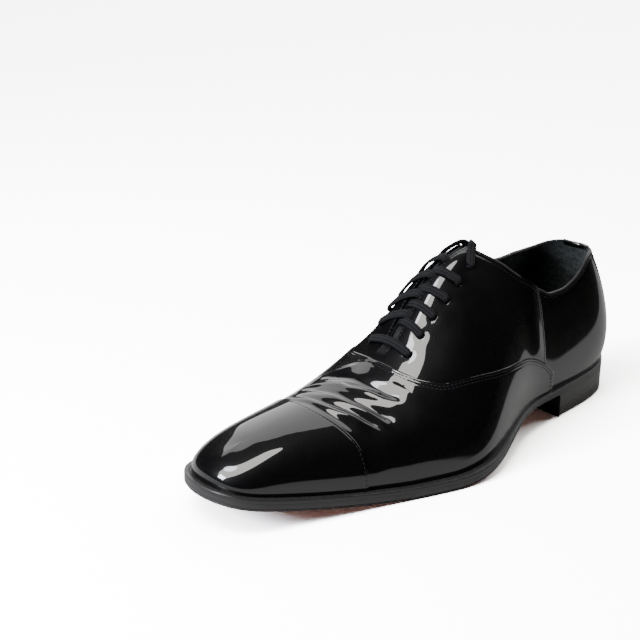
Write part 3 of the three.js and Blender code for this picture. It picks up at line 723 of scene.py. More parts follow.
def quarter_foot(u):
    """Share of the way up at which a quarter begins: at the welt, or under the vamp in front of its wing"""
    station = station_of(u)
    under = seam_share(np.maximum(station - 0.15, WING)) + UNDER_VAMP
    return np.where(station < WING, BELOW_WELT, mix(BELOW_WELT, under, rising(station, WING, 0.25)))


def facing_relief(points, side, slot):
    """The facing swells beside the slot, and the lace draws it in round the eyelets"""
    apart = distances(points, slot)
    s = SHIFT[1] - points[:, 1] / MM
    swell = groove(apart, *SLOT_SWELL) * (1 - rising(s, *SLOT_SWELL_ENDS))
    relief = swell + groove(apart, SLOT_ROW, *SLOT_GROOVE)
    hollow = groove(apart, *LOWER_HOLLOW) + groove(apart, *LOWER_SWELL)
    relief += hollow * rising(s, *HOLLOW_STARTS) * (1 - rising(s, *HOLLOW_ENDS))
    for place in EYELET_S:
        hole = skin(*find_on_upper([place], [eyelet_x(place, side)]), FRONT)[0]
        relief += groove(np.linalg.norm(points - hole, axis=1) / MM, *EYELET_DENT)
    return relief


def sheet(columns, rows, place):
    """A pattern piece in a mesh of its own"""
    bm = bmesh.new()
    pattern(bm, columns, rows, place)
    return bm


def front_quarter():
    def place(u, t):
        v = mix(quarter_foot(u), top_of(u), t)
        base = skin(u, v, FRONT)
        beside = distances(base, side_seam_line())
        relief = stitched(beside, (SIDE_ROW,)) + groove(beside, *SIDE_SWELL) * rising(t, *SIDE_SWELL_STARTS)
        relief += groove(distances(base, top_line(SIDE_SEAM, FACING_TOP, FRONT)), TOP_ROW, *TOP_GROOVE)
        return skin(u, v, FRONT + relief + facing_relief(base, 1, top_line(FACING_TOP, SLOT_END, FRONT)))

    columns = np.concatenate([stops([SIDE_SEAM, SIDE_SEAM + 0.2], 0.02)[:-1],
                              stops([SIDE_SEAM + 0.2, FACING_TOP, SLOT_END, THROAT + 0.12], 0.05)])
    return sheet(columns, graded(64, 1.3), place)


def wrap_quarter():
    def place(u, t):
        v = mix(quarter_foot(u), top_of(u), t)
        lift = wrap_lift(u)
        base = skin(u, v, lift)
        slot = top_line(-SLOT_END, -INNER_FACING_TOP, FRONT)
        top = distances(base, top_line(-INNER_FACING_TOP, SIDE_SEAM, panel_lift))
        return skin(u, v, lift + groove(top, TOP_ROW, *TOP_GROOVE) + facing_relief(base, -1, slot))

    columns = stops([-THROAT - 0.12, -SLOT_END, -INNER_FACING_TOP, 0, SIDE_SEAM + 0.03], 0.05)
    return sheet(columns, graded(64, 1.3), place)


def vamp():
    under_cap = CAP_SEAM + 0.4

    def laid(side):
        def place(station, t):
            u = station if side > 0 else ROUND - station
            v = mix(BELOW_WELT, np.where(station < THROAT, seam_share(station), 1), t)
            base = skin(u, v, 0)
            seam = np.minimum(distances(base, vamp_seam_line(1)), distances(base, vamp_seam_line(-1)))
            return skin(u, v, crease_lift(base) + stitched(seam))
        return place

    columns = np.concatenate([stops([WING, NEAR_THROAT], 0.05)[:-1], stops([NEAR_THROAT, THROAT], 0.015)[:-1],
                              stops([THROAT, CAP_SEAM], 0.028)[:-1], stops([CAP_SEAM, under_cap], 0.06)])
    rows = graded(64, 1.2)
    return merged(joined(sheet(columns, rows, laid(1)), sheet(columns[::-1], rows, laid(-1))))


def joined(bm, other):
    """Adds one mesh in work to another"""
    mesh = bpy.data.meshes.new("part")
    other.to_mesh(mesh)
    other.free()
    bm.from_mesh(mesh)
    bpy.data.meshes.remove(mesh)
    return bm


def toe_cap():
    def place(u, t):
        v = mix(BELOW_WELT, 1, t)
        base = skin(u, v, CAP_LAP)
        return skin(u, v, CAP_LAP + stitched(distances(base, cap_seam_line(CAP_LAP)), (CAP_ROW,)))

    near = stops([CAP_SEAM, CAP_SEAM + 0.25], 0.015)
    far = stops([CAP_SEAM + 0.25, ROUND - CAP_SEAM - 0.25], 0.035)
    columns = np.concatenate([near[:-1], far[:-1], (ROUND - near)[::-1]])
    return merged(sheet(columns, np.linspace(0, 1, 56), place))


# Lift of the lining, and of the strip along the top line of its heel part, in mm
LINING_LIFT = -1.86
HEEL_STRIP = -0.25


def lining():
    def place(u, t):
        v = mix(0.005, top_of(u) - 0.002, t)
        troughs = np.minimum(crease_lift(skin(u, v, 0)), 0)
        strip = HEEL_STRIP * rising(t, 0.86, 0.03) * smooth((INSTEP[0] + 0.5 - np.abs(u)) / 0.2)
        return skin(u, v, LINING_LIFT + troughs + strip)

    columns = stops([-SLOT_END, -INNER_FACING_TOP, 0, FACING_TOP, SLOT_END, TIP, ROUND - SLOT_END], 0.12)
    return merged(sheet(columns, np.linspace(0, 1, 36), place))


# Section of the binding: height above the top line in mm, share of the way through the wall, lift in mm
BINDING = [
    (-2.1, 0.0, -0.03), (-2.05, 0.0, 0.16), (-1.8, 0.0, 0.26), (-1.1, 0.0, 0.24), (-0.4, 0.0, 0.26),
    (0.1, 0.06, 0.16), (0.42, 0.25, 0.0), (0.52, 0.5, 0.0), (0.42, 0.75, 0.0), (0.1, 0.94, -0.16),
    (-0.4, 1.0, -0.26), (-1.4, 1.0, -0.24), (-2.5, 1.0, -0.24), (-2.8, 1.0, -0.12), (-2.85, 1.0, 0.04),
]
BINDING_ENDS = (-INNER_FACING_TOP, FACING_TOP)

# The heel's tab: its ends, how far it stands off the binding in mm, and how much longer it is outside
TAB_ENDS = (-0.75, 0.35)
TAB_LIFT = 0.35
TAB_LONGER = 1.5
TAB_LOWER = 0.6


def tab_section():
    """The binding's section made fuller, and longer on the outside"""
    rows = []
    for height, through, lift in BINDING:
        outside = through < 0.5
        hanging = height * TAB_LONGER - TAB_LOWER if outside and height < 0 else height + TAB_LIFT
        rows.append((hanging, through, lift + (TAB_LIFT if outside else -TAB_LIFT)))
    return rows


def panel_lift(u):
    """Lift of the outer skin under the top line, from the inner facing round the heel to the outer one"""
    return np.where(u > SIDE_SEAM, FRONT, wrap_lift(u))


def over_top_line(section, ends, spacing):
    """A strip laid over the top line with the given section, pressed down over the side seam"""
    heights, through, lifts = np.array(section).T

    def place(u, row):
        index = row.astype(int)
        v = top_of(u)
        slope = np.linalg.norm(on_last(u, v) - on_last(u, v - 0.01), axis=-1) / 0.01
        outer = mix(BACK, panel_lift(u), smooth(np.abs(u - SIDE_SEAM) / 0.12))
        lift = mix(outer, -WALL, through[index]) + lifts[index]
        return skin(u, v + heights[index] / slope, lift)

    return sheet(stops(ends, spacing), np.arange(len(section)), place)


def tongue():
    def place(station, x):
        u = np.where(x < 0, ROUND - station, station)
        return skin(u, share_across(u, x), -WALL - TONGUE_CLEAR)

    columns = stops([ridge_station(AT["tongueTop"]), ridge_station(AT["tongueEnd"])], 0.07)
    return sheet(columns, np.linspace(TONGUE_WIDTH / 2, -TONGUE_WIDTH / 2, 29), place)


# Sole and heel

def sole_solid(levels, end=TIP, limit=None, across=12, spacing=0.06):
    """A closed layer of the sole: its outline at several levels, each with its inset and height"""
    loop = [(0, share) for share in np.linspace(-1, 1, across + 1)]
    loop += [(k, 1) for k in range(1, len(levels) - 1)]
    loop += [(len(levels) - 1, share) for share in np.linspace(1, -1, across + 1)]
    loop += [(k, -1) for k in range(len(levels) - 2, -1, -1)]

    def place(station, row):
        points = np.zeros((len(station), 3))
        for index, (level, share) in enumerate(loop):
            chosen = row.astype(int) == index
            inset, height = levels[level]
            at = station[chosen]
            sides = [np.stack(outline(u, inset(u) if callable(inset) else inset), -1) for u in (ROUND - at, at)]
            x, s = mix(*sides, (share + 1) / 2).T
            if limit:
                s = np.minimum(s, limit(height(s)))
            points[chosen] = np.stack([x, s, height(s)], -1)
        return to_frame(points)

    return closed(sheet(stops([0, end], spacing), np.arange(len(loop)), place))


# Where the sole's side leaves the heel's block, as start and length in shares of LENGTH
OFF_HEEL = (0.23, 0.08)


def outside_edge(trim):
    """Inset of a layer's side, flush with the heel's block over the heel"""
    return lambda u: mix(HEEL_INSET, trim, rising(feather_s(u) / LENGTH, *OFF_HEEL)) - edge(u)


def above_bottom(height, share=0.0):
    """Height over the sole's underside: a distance in mm, then a share of what is left up to the sole's top"""
    return lambda s: mix(bottom(s) + height, sole_top(s), share)


# Side of the sole from below, with the fine line that is wheeled round it: how much its edge is trimmed and
# its height in mm, then its share of what is left up to the top
SOLE_SIDE = [
    (1.05, 0, 0), (0.8, 0.12, 0), (0.42, 0.85, 0), (0.2, 1.05, 0), (0.1, 1.2, 0), (0.34, 1.42, 0),
    (0.1, 1.64, 0), (0, 1.64, 0.4), (0.02, 1.64, 0.8), (0.04, 1.64, 0.96), (0.08, 1.64, 1),
]


def outsole():
    return sole_solid([(outside_edge(trim), above_bottom(up, share)) for trim, up, share in SOLE_SIDE])


# Welt's side and top from below: trim in mm and share of its height, then shares of its width. Its stitches
# stand at a distance from the sole's edge and draw it in.
WELT_SIDE = [(0.08, 0.0), (0.04, 0.08), (0.06, 0.5), (0.14, 0.86), (0.3, 0.96), (0.6, 1.0)]
WELT_TOP = [0.28, 0.45, 0.55, 0.65, 0.85]
WELT_ROW = 2.75
WELT_DENT = 0.25
WELT_ENDS = 5.6
BED = 0.03


def welt():
    """The welt's strip round the sole, drawn in along its stitches"""
    shares = np.array([share for _, share in WELT_SIDE] + [1.0] * len(WELT_TOP) + [1.0, 0.0, 0.0])

    def place(u, row):
        index = row.astype(int)
        wide = edge(u) + WELT_SEAT
        insets = [outside_edge(trim)(u) for trim, _ in WELT_SIDE]
        insets += [share * wide - edge(u) for share in WELT_TOP]
        insets += [np.full_like(u, WELT_SEAT), np.full_like(u, WELT_SEAT), insets[0]]
        inset = np.choose(index, insets)
        x, s = outline(u, inset)
        dent = np.where(np.abs(inset + edge(u) - WELT_ROW) < 0.45, WELT_DENT * rising(edge(u), 2, 1.5), 0)
        return to_frame(np.stack([x, s, mix(sole_top(s) + BED, welt_top(s), shares[index]) - dent], -1))

    bm = merged(sheet(stops([0, ROUND], 0.06), np.arange(len(shares)), place))
    bmesh.ops.recalc_face_normals(bm, faces=bm.faces)
    return bm


def above_feather(height):
    return lambda s: feather_height(s) + height


def insole():
    """The insole with its rounded edges, over the filler in the welt's opening"""
    filler = WELT_SEAT + GAP
    inside = WALL + 0.3
    return sole_solid([
        (filler, lambda s: sole_top(s) + GAP), (filler, above_feather(0)), (inside + 0.3, above_feather(0)),
        (inside, above_feather(0.4)), (inside, above_feather(INSOLE - 0.4)),
        (inside + 0.4, above_feather(INSOLE)),
    ], spacing=0.12)


BREAST = one(solve(lambda u: feather_s(u) - AT["breast"] * LENGTH, [1], [TIP / 2]))
UPRIGHT_STATIONS = 3
PAST_BREAST = 0.3


def breast_at(z):
    return AT["breast"] * LENGTH - BREAST_LEAN * (1 - z / HEEL_HEIGHT)


def taper(z, trim=0.0):
    def inset(u):
        drawn = HEEL_TAPER * (1 - z / HEEL_HEIGHT) * smooth(station_of(u) / UPRIGHT_STATIONS)
        return trim + HEEL_INSET + drawn - edge(u)

    return inset


def heel_solid(levels):
    layers = [(taper(z, trim), height) for z, trim, height in levels]
    return sole_solid(layers, BREAST + PAST_BREAST, breast_at, spacing=0.05)


def heel_stack():
    """The heel's block of leather lifts, sanded and waxed to one smooth side"""
    foot = LIFT + BED

    def level(up):
        return lambda s: mix(foot, bottom(s) - BED, up)

    rows = [(0.0, 0.03), (0.05, 0.0), (0.35, 0.0), (0.7, 0.0), (0.96, 0.0), (1.0, 0.1)]
    return heel_solid([(mix(foot, HEEL_HEIGHT, up), trim, level(up)) for up, trim in rows])


def top_lift():
    def level(z):
        return lambda s: np.full_like(s, z)

    rows = [(0, 0.7), (0.12, 0.3), (0.5, 0.05), (1.0, 0.0)]
    rows += [(LIFT - 0.3, 0.0), (LIFT - 0.05, 0.02), (LIFT, 0.05)]
    return heel_solid([(z, trim, level(z)) for z, trim in rows])


# Lace

LACE_PATH_STEP = 0.7
LACE_WIDTH = 5
LACE = 1.8
LACE_LIFT = FRONT + 0.5 + LACE / 2
UNDER_FACING = -3.2

# Share of its width that is left to the lace in a hole, and how much thicker it gets for what it loses
HOLE_WIDTH = 0.62
SQUEEZED = 0.55

# Ends of the lace as x, s and z in mm, repeated from the shoe's source. Those without z lie on the leather.
OUTER_END = [
    (12.0, 129.7), (10.2, 127.9), (8.4, 125.8), (6.9, 123.6, 110.6), (5.9, 122.3, 111.9), (5.1, 121.1, 113.2),
    (4.3, 119.9, 113.6), (3.5, 118.8, 112.7), (2.9, 118.0, 110.7), (2.5, 117.4, 107.3), (2.3, 117.0, 102.6),
    (2.2, 116.8, 97.2),
]
INNER_END = [
    (-13.2, 129.6), (-12.4, 128.4, 103.3), (-11.0, 126.8, 106.2), (-9.2, 125.3, 108.2), (-7.0, 123.8, 110.2),
    (-5.0, 122.0, 111.8), (-3.7, 120.0, 112.1), (-3.0, 118.2, 110.8), (-2.8, 117.0, 107.8),
    (-2.8, 116.4, 103.4), (-2.8, 116.1, 97.8),
]

# Sleeve of the lace's tip: its rings' places along it in mm and their shares of its width
TIP_WIDTH = 2.8
TIP_RINGS = [(0.0, 0.82), (0.15, 0.98), (0.5, 1.0), (9.8, 0.93), (11.2, 0.84), (11.8, 0.66), (12.0, 0.3)]


def curved(points, step=LACE_PATH_STEP):
    """A smooth line through rows of numbers, sampled at even steps of its first three, in mm"""
    rows = np.asarray(points, float)
    padded = np.concatenate([2 * rows[:1] - rows[1:2], rows, 2 * rows[-1:] - rows[-2:-1]])
    samples = []
    t = np.linspace(0, 1, 12, endpoint=False)[:, None]
    for a, b, c, d in zip(padded, padded[1:], padded[2:], padded[3:]):
        bend = (2 * a - 5 * b + 4 * c - d) * t**2 + (3 * b - a - 3 * c + d) * t**3
        samples.append(0.5 * (2 * b + (c - a) * t + bend))
    line = np.concatenate([*samples, rows[-1:]])
    run = np.concatenate([[0], np.cumsum(np.linalg.norm(np.diff(line[:, :3], axis=0), axis=1))])
    count = max(int(run[-1] / (step * MM)), 2)
    return np.stack([np.interp(np.linspace(0, run[-1], count + 1), run, column) for column in line.T], -1)


# Half of the flat lace's section as shares of its width and thickness
LACE_SECTION = [(0.5, 0.0), (0.485, 0.2), (0.43, 0.34), (0.33, 0.43), (0.12, 0.48), (-0.12, 0.48), (-0.33, 0.43),
                (-0.43, 0.34), (-0.485, 0.2)]


def ribbon(stations):
    """A flat woven lace along rows of point, upward direction and share of its width"""
    line = curved(stations)
    points, ups, width = line[:, :3], unit(line[:, 3:6]), line[:, 6]
    run = unit(np.gradient(points, axis=0))
    wide = unit(np.cross(run, ups))
    thick = np.cross(wide, run)
    section = np.array(LACE_SECTION + [(-a, -b) for a, b in LACE_SECTION] + LACE_SECTION[:1])
    squeeze = LACE * (1 + SQUEEZED * (1 - width)) * MM

    def place(column, row):
        i = column.astype(int)
        a, b = section[row.astype(int)].T
        across = (a * LACE_WIDTH * MM * width[i])[:, None] * wide[i]
        return points[i] + across + (b * squeeze[i])[:, None] * thick[i]

    bm = sheet(np.arange(len(points)), np.arange(len(section)), place)
    uv = bm.loops.layers.uv.active
    length = len(points) * LACE_PATH_STEP
    for face in bm.faces:
        for loop in face.loops:
            loop[uv].uv = (loop[uv].uv.x * length, loop[uv].uv.y * 2 * (LACE_WIDTH + LACE))
    return closed(bm, 0.001)


def lace_stations(rows, side):
    """Rows of s, x, lift, dive in degrees and share of the width, as a ribbon's stations"""
    s, x, lift, dive, width = np.array(rows, float).T
    u, v = find_on_upper(s, x)
    n = normal(u, v)
    base = on_last(u, v)
    away = unit(on_last(*find_on_upper(s, x + side * 0.5)) - base)
    angle = np.radians(dive)[:, None]
    up = np.cos(angle) * n + np.sin(angle) * away
    return np.concatenate([to_frame(base + n * lift[:, None]), turned_to_frame(up), width[:, None]], 1)


def out_of_hole(s, side):
    """The first rows of a lace that comes up through an eyelet and turns towards the slot"""
    x = eyelet_x(s, side)
    return [
        (s, x + side * 0.2, -3.6, 90, HOLE_WIDTH), (s, x + side * 0.15, -1.6, 90, HOLE_WIDTH),
        (s, x, -0.35, 62, 0.72), (s, x - side * 0.7, 0.4, 30, 0.86), (s, x - side * 1.9, LACE_LIFT + 0.1, 6, 0.98),
    ]


def lace_arm(s, side, lean, arch, cross):
    """From an eyelet over its facing to the slot, and down under the other facing"""
    x = eyelet_x(s, side)
    other = slot_edges[1 if side > 0 else 0](s / LENGTH) * FACING
    rows = out_of_hole(s, side)
    for share in (0.35, 0.55, 0.78):
        lift = LACE_LIFT + arch * math.sin(math.pi * min(share / 0.9, 1))
        rows.append((s + lean * min(share / 0.9, 1), x * (1 - share), lift, 0, 1))
    rows.append((s + lean, side * 0.5, LACE_LIFT + cross, 0, 1))
    rows.append((s + lean, -side * max(other * 0.6, 1.6), LACE_LIFT + cross - 1.6, 0, 1))
    rows.append((s + lean * 0.8, -side * (other + 1.5), UNDER_FACING, 0, 0.95))
    rows.append((s + lean * 0.4, -side * (other + 6), UNDER_FACING, 0, 0.95))
    return ribbon(lace_stations(rows, side))


def lace_bar():
    s = EYELET_S[0]
    outer, inner = out_of_hole(s, 1), out_of_hole(s, -1)
    x = [eyelet_x(s, 1), eyelet_x(s, -1)]
    middle = [(s, mix(*x, share), LACE_LIFT + 0.25, 0, 1) for share in (0.3, 0.5, 0.7)]
    first = lace_stations(outer + middle[:2], 1)
    second = lace_stations([middle[2]] + inner[::-1], -1)
    return ribbon(np.concatenate([first, second]))


# Crossings from the toe up: how far each arm leans along the shoe and how high it arches, in mm, and how much
# the outer arm lies under the inner one
OUTER_LEANS = (-0.5, 0.8, 3.0, 4.4)
OUTER_ARCH = 0.3
INNER_LEAN = -3.0
INNER_ARCHES = (0.2, 0.2, 0.4, 0.9)
CROSSING = 0.7


def end_line(points):
    on_leather = [p for p in points if len(p) == 2]
    x, s = np.array(on_leather, float).T
    laid = skin(*find_on_upper(s, x), LACE_LIFT)
    free = to_frame(np.array([p for p in points if len(p) == 3], float))
    return np.concatenate([laid, free])


def lace_end(points):
    """A free end of the lace: its mesh, the line it follows and its tip's place"""
    line = end_line(points)
    x, s = points[0]
    run = unit(np.gradient(line, axis=0))
    ups = [turned_to_frame(normal(*find_on_upper([s], [x])))[0]]
    for direction in run[1:]:
        up = ups[-1] - direction * np.dot(direction, ups[-1])
        ups.append(up / np.linalg.norm(up))
    side = 1 if x > 0 else -1
    hole = lace_stations(out_of_hole(s, side)[:3], side)
    width = np.ones((len(line), 1))
    width[0] = 0.85
    stations = np.concatenate([hole, np.concatenate([line, np.array(ups), width], 1)])
    return ribbon(stations), curved(stations)[:, :3], line


def lace_tip(line):
    """The lace's tip: a crimped sleeve that narrows to its end"""
    run = Vector(unit(line[-1] - line[-2]))
    start = Vector(line[-1]) + run * GAP * MM
    bm = bmesh.new()
    for along, share in TIP_RINGS:
        matrix = Matrix.Translation(start + run * along * MM) @ pointed(run)
        bmesh.ops.create_circle(bm, segments=20, radius=share * TIP_WIDTH / 2 * MM, matrix=matrix)
    bmesh.ops.bridge_loops(bm, edges=bm.edges[:])
    return closed(bm, 0.0005)


# Stitches

# Bar tack at the slot's lower end: where it starts and ends along the shoe, its half width and how far its
# threads slant, in mm
TACK = (180.6, 187.2)
TACK_WIDTH = 2.7
TACK_SLANT = 0.4


def stitch(bm, middle, turn, size, sides=8, rings=6):
    """One stitch: a bead of thread with its length, width and height in mm"""
    matrix = Matrix.Translation(middle) @ turn @ Matrix.Diagonal((*(n * MM for n in size), 1))
    bmesh.ops.create_uvsphere(bm, u_segments=sides, v_segments=rings, radius=0.5, matrix=matrix)


def bar_tack(bm, thread):
    """Close threads across the slot's lower end"""
    for x in np.linspace(-TACK_WIDTH, TACK_WIDTH, 5):
        place = find_on_upper(TACK, [x + TACK_SLANT, x - TACK_SLANT])
        a, b = (Vector(p) for p in skin(*place, FRONT + 0.3))
        stitch(bm, (a + b) / 2, levelled(b - a), ((b - a).length / MM, thread, thread))


def stitch_line(bm, line, surface, offset, sign, pitch, length, thread):
    """A row of stitches beside a line, at an offset on a surface"""
    points = even_line(line, 0.5)
    run = unit(np.gradient(points, axis=0))
    beside = []
    for point, direction in zip(points, run):
        place, up, _, _ = surface.find_nearest(Vector(point))
        across = up.cross(Vector(direction)).normalized() * sign
        found, _, _, _ = surface.find_nearest(place + across * offset * MM)
        beside.append(found)
    path = even_line(np.array(beside), pitch)
    row = bmesh.new()
    for a, b in zip(path, path[1:]):
        middle, direction = Vector((a + b) / 2), Vector(b - a)
        if direction.length < 0.3 * pitch * MM or direction.length > 1.7 * pitch * MM:
            continue
        found, up, _, _ = surface.find_nearest(middle)
        direction = (direction - up * direction.dot(up)).normalized()
        proud = up * thread * 0.12 * MM
        turn = turned(direction, up.cross(direction))
        stitch(row, found + proud, turn, (length, thread, thread * 0.8), 6, 4)
    return joined(bm, row)


# Materials

def new_material(name, colour, roughness, specular=0.5):
    material = bpy.data.materials.new(name)
    material.use_nodes = True
    shader = material.node_tree.nodes["Principled BSDF"]
    shader.inputs["Base Color"].default_value = (*colour, 1)
    shader.inputs["Roughness"].default_value = roughness
    shader.inputs["Specular IOR Level"].default_value = specular
    return material, material.node_tree, shader


def texture(tree, kind, scale, source="Object", stretch=None, **values):
    """A texture node on the object's own coordinates, stretched or not, or on its UV map"""
    vector = tree.nodes.new("ShaderNodeTexCoord").outputs[source]
    if stretch:
        mapping = tree.nodes.new("ShaderNodeMapping")
        mapping.inputs["Scale"].default_value = stretch
        tree.links.new(vector, mapping.inputs["Vector"])
        vector = mapping.outputs["Vector"]
    node = tree.nodes.new(kind)
    tree.links.new(vector, node.inputs["Vector"])
    node.inputs["Scale"].default_value = scale
    for name, value in values.items():
        node.inputs[name].default_value = value
    return node


def bump(tree, height, strength, distance, before=None):
    node = tree.nodes.new("ShaderNodeBump")
    node.inputs["Strength"].default_value = strength
    node.inputs["Distance"].default_value = distance
    tree.links.new(height, node.inputs["Height"])
    if before:
        tree.links.new(before, node.inputs["Normal"])
    return node.outputs["Normal"]


def ranged(tree, value, low, high, low_from=0.3, high_from=0.7):
    """The value of a texture brought into a range"""
    node = tree.nodes.new("ShaderNodeMapRange")
    tree.links.new(value, node.inputs["Value"])
    for name, number in (("From Min", low_from), ("From Max", high_from), ("To Min", low), ("To Max", high)):
        node.inputs[name].default_value = number
    return node.outputs["Result"]


def computed(tree, operation, a, b):
    node = tree.nodes.new("ShaderNodeMath")
    node.operation = operation
    for socket, value in zip(node.inputs, (a, b)):
        if isinstance(value, float):
            socket.default_value = value
        else:
            tree.links.new(value, socket)
    return node.outputs["Value"]


def tinted(tree, factor, dark, light):
    """A colour between two, of which either may be another node's output"""
    node = tree.nodes.new("ShaderNodeMix")
    node.data_type = "RGBA"
    node.clamp_factor = True
    tree.links.new(factor, colour_socket(node.inputs, "Factor"))
    for name, colour in (("A", dark), ("B", light)):
        socket = colour_socket(node.inputs, name)
        if isinstance(colour, bpy.types.NodeSocket):
            tree.links.new(colour, socket)
        else:
            socket.default_value = (*colour, 1)
    return colour_socket(node.outputs, "Result")


def colour_socket(sockets, name):
    """The Mix node's socket of that name which its colour mode uses"""
    return next(s for s in sockets if s.name == name and s.enabled)


def scaled(colour, factor):
    return tuple(min(c * factor, 1) for c in colour)


def patent_leather():
    """Black patent leather: a glass-like coat with slow waves over fine leather grain"""
    material, tree, shader = new_material("patent_leather", scaled(colours().patent, 0.12), 0.4, 0.05)
    shader.inputs["Coat Weight"].default_value = 1
    shader.inputs["Coat Roughness"].default_value = 0.02
    shader.inputs["Coat IOR"].default_value = 1.5
    waves = texture(tree, "ShaderNodeTexNoise", 48, Detail=0.6, Roughness=0.35)
    grain = texture(tree, "ShaderNodeTexNoise", 1400, Detail=2.0, Roughness=0.5)
    wavy = bump(tree, waves.outputs["Fac"], 0.5, 0.0005)
    fine = bump(tree, grain.outputs["Fac"], 0.012, 0.0001, wavy)
    tree.links.new(fine, shader.inputs["Coat Normal"])
    tree.links.new(fine, shader.inputs["Normal"])
    smudges = texture(tree, "ShaderNodeTexNoise", 120, Detail=4.0)
    tree.links.new(ranged(tree, smudges.outputs["Fac"], 0.36, 0.46), shader.inputs["Roughness"])
    return material


def suede(name, colour, light=1.52, fleck=0.1):
    """Matt lining with a short nap"""
    material, tree, shader = new_material(name, colour, 0.92, 0.2)
    shader.inputs["Sheen Weight"].default_value = 0.15
    shader.inputs["Sheen Roughness"].default_value = 0.5
    patches = texture(tree, "ShaderNodeTexNoise", 300, Detail=6.0, Roughness=0.75)
    speckle = ranged(tree, patches.outputs["Fac"], 0, 1, 0.52 - fleck, 0.52 + fleck)
    tree.links.new(tinted(tree, speckle, scaled(colour, 0.2), scaled(colour, light)),
                   shader.inputs["Base Color"])
    nap = texture(tree, "ShaderNodeTexNoise", 2600, Detail=3.0)
    tree.links.new(bump(tree, nap.outputs["Fac"], 0.6, 0.0003), shader.inputs["Normal"])
    return material


def calf(name, colour, roughness):
    """Smooth calf leather with its pores"""
    material, tree, shader = new_material(name, scaled(colour, 0.5), roughness, 0.2)
    cells = texture(tree, "ShaderNodeTexVoronoi", 900)
    tree.links.new(bump(tree, cells.outputs["Distance"], 0.25, 0.0002), shader.inputs["Normal"])
    wear = texture(tree, "ShaderNodeTexNoise", 200, Detail=4.0)
    worn = ranged(tree, wear.outputs["Fac"], roughness * 0.8, roughness * 1.25)
    tree.links.new(worn, shader.inputs["Roughness"])
    return material


def waxed_edge(name, colour, roughness=0.36):
    """Cut leather edge, dyed, waxed and burnished: fine lines run along it"""
    material, tree, shader = new_material(name, colour, roughness)
    fibres = texture(tree, "ShaderNodeTexNoise", 260, stretch=(1, 1, 4), Detail=4)
    tree.links.new(bump(tree, fibres.outputs["Fac"], 0.08, 0.0001), shader.inputs["Normal"])
    worn = ranged(tree, fibres.outputs["Fac"], roughness * 0.9, roughness * 1.2)
    tree.links.new(worn, shader.inputs["Roughness"])
    tree.links.new(tinted(tree, fibres.outputs["Fac"], scaled(colour, 0.4), scaled(colour, 0.9)),
                   shader.inputs["Base Color"])
    return material


def sole_leather():
    """Red-brown stained sole leather underneath, with its edge dyed and waxed black"""
    colour = colours().sole
    material, tree, shader = new_material("sole_leather", colour, 0.5)
    stain = texture(tree, "ShaderNodeTexNoise", 45, Detail=6.0, Roughness=0.6)
    underside = tinted(tree, stain.outputs["Fac"], scaled(colour, 0.6), scaled(colour, 1.5))
    geometry = tree.nodes.new("ShaderNodeNewGeometry")
    split = tree.nodes.new("ShaderNodeSeparateXYZ")
    tree.links.new(geometry.outputs["Normal"], split.inputs["Vector"])
    sideways = ranged(tree, split.outputs["Z"], 0, 1, -0.93, -0.72)
    tree.links.new(tinted(tree, sideways, underside, tuple(colours().edge)), shader.inputs["Base Color"])
    fibres = texture(tree, "ShaderNodeTexNoise", 900, Detail=4.0)
    tree.links.new(bump(tree, fibres.outputs["Fac"], 0.3, 0.0002), shader.inputs["Normal"])
    tree.links.new(ranged(tree, stain.outputs["Fac"], 0.36, 0.55), shader.inputs["Roughness"])
    return material


def woven_cotton():
    """Black flat lace: ribbed along its length and crossed by the weave's fine rows, with a painted highlight on
    each rib's crest
    """
    colour = colours().lace
    material, tree, shader = new_material("lace_cotton", colour, 0.6, 0.1)
    ribs_and_painted_highlight = texture(tree, "ShaderNodeTexWave", 0.25, "UV")
    ribs_and_painted_highlight.bands_direction = "Y"
    rows = texture(tree, "ShaderNodeTexWave", 0.62, "UV", Distortion=0.6)
    rows.bands_direction = "X"
    ribbed = bump(tree, ribs_and_painted_highlight.outputs["Fac"], 0.7, 0.0002)
    tree.links.new(bump(tree, rows.outputs["Fac"], 0.8, 0.00018, ribbed), shader.inputs["Normal"])
    # Painted highlight: the crests of the lengthwise weave are coloured lighter than its hollows
    tree.links.new(tinted(tree, ribs_and_painted_highlight.outputs["Fac"], scaled(colour, 0.08), scaled(colour, 0.55)),
                   shader.inputs["Base Color"])
    return material


def thread():
    """Waxed thread with its twist"""
    material, tree, shader = new_material("waxed_thread", scaled(colours().thread, 0.6), 0.55, 0.15)
    twist = texture(tree, "ShaderNodeTexWave", 900, Distortion=1.0)
    tree.links.new(bump(tree, twist.outputs["Fac"], 0.5, 0.0001), shader.inputs["Normal"])
    return material


def plastic():
    """Clear-coated tip of the lace, scuffed in places"""
    material, tree, shader = new_material("lace_tip", FINISH["tip_plastic"], 0.25)
    scuffs = texture(tree, "ShaderNodeTexNoise", 700, Detail=3.0)
    tree.links.new(ranged(tree, scuffs.outputs["Fac"], 0.18, 0.4), shader.inputs["Roughness"])
    return material


def heel_rubber():
    """Dark brown-black rubber with fine specks"""
    colour = colours().rubber
    material, tree, shader = new_material("heel_rubber", colour, 0.42, 0.5)
    specks = texture(tree, "ShaderNodeTexNoise", 500, Detail=5.0)
    tree.links.new(tinted(tree, specks.outputs["Fac"], scaled(colour, 0.15), scaled(colour, 0.5)),
                   shader.inputs["Base Color"])
    tree.links.new(bump(tree, specks.outputs["Fac"], 0.3, 0.0002), shader.inputs["Normal"])
    return material


KEPT = {}


def material_of(make, *values):
    """One material for all the pieces that share it"""
    key = (make.__name__, *values[:1])
    if key not in KEPT:
        KEPT[key] = make(*values)
    return KEPT[key]


# Camera, floor and lights

# Camera: degrees and metres round its target, and its focal length in pixels of the photo's width
AZIMUTH, ELEVATION, ROLL = 48.107, 21.640, 0.460
CAMERA_DISTANCE = 1.06974
CAMERA_TARGET = (-0.104738, 0.019062, 0.040051)
PHOTO_WIDTH = 640
FOCAL_PIXELS = 1747.38
SENSOR = 36

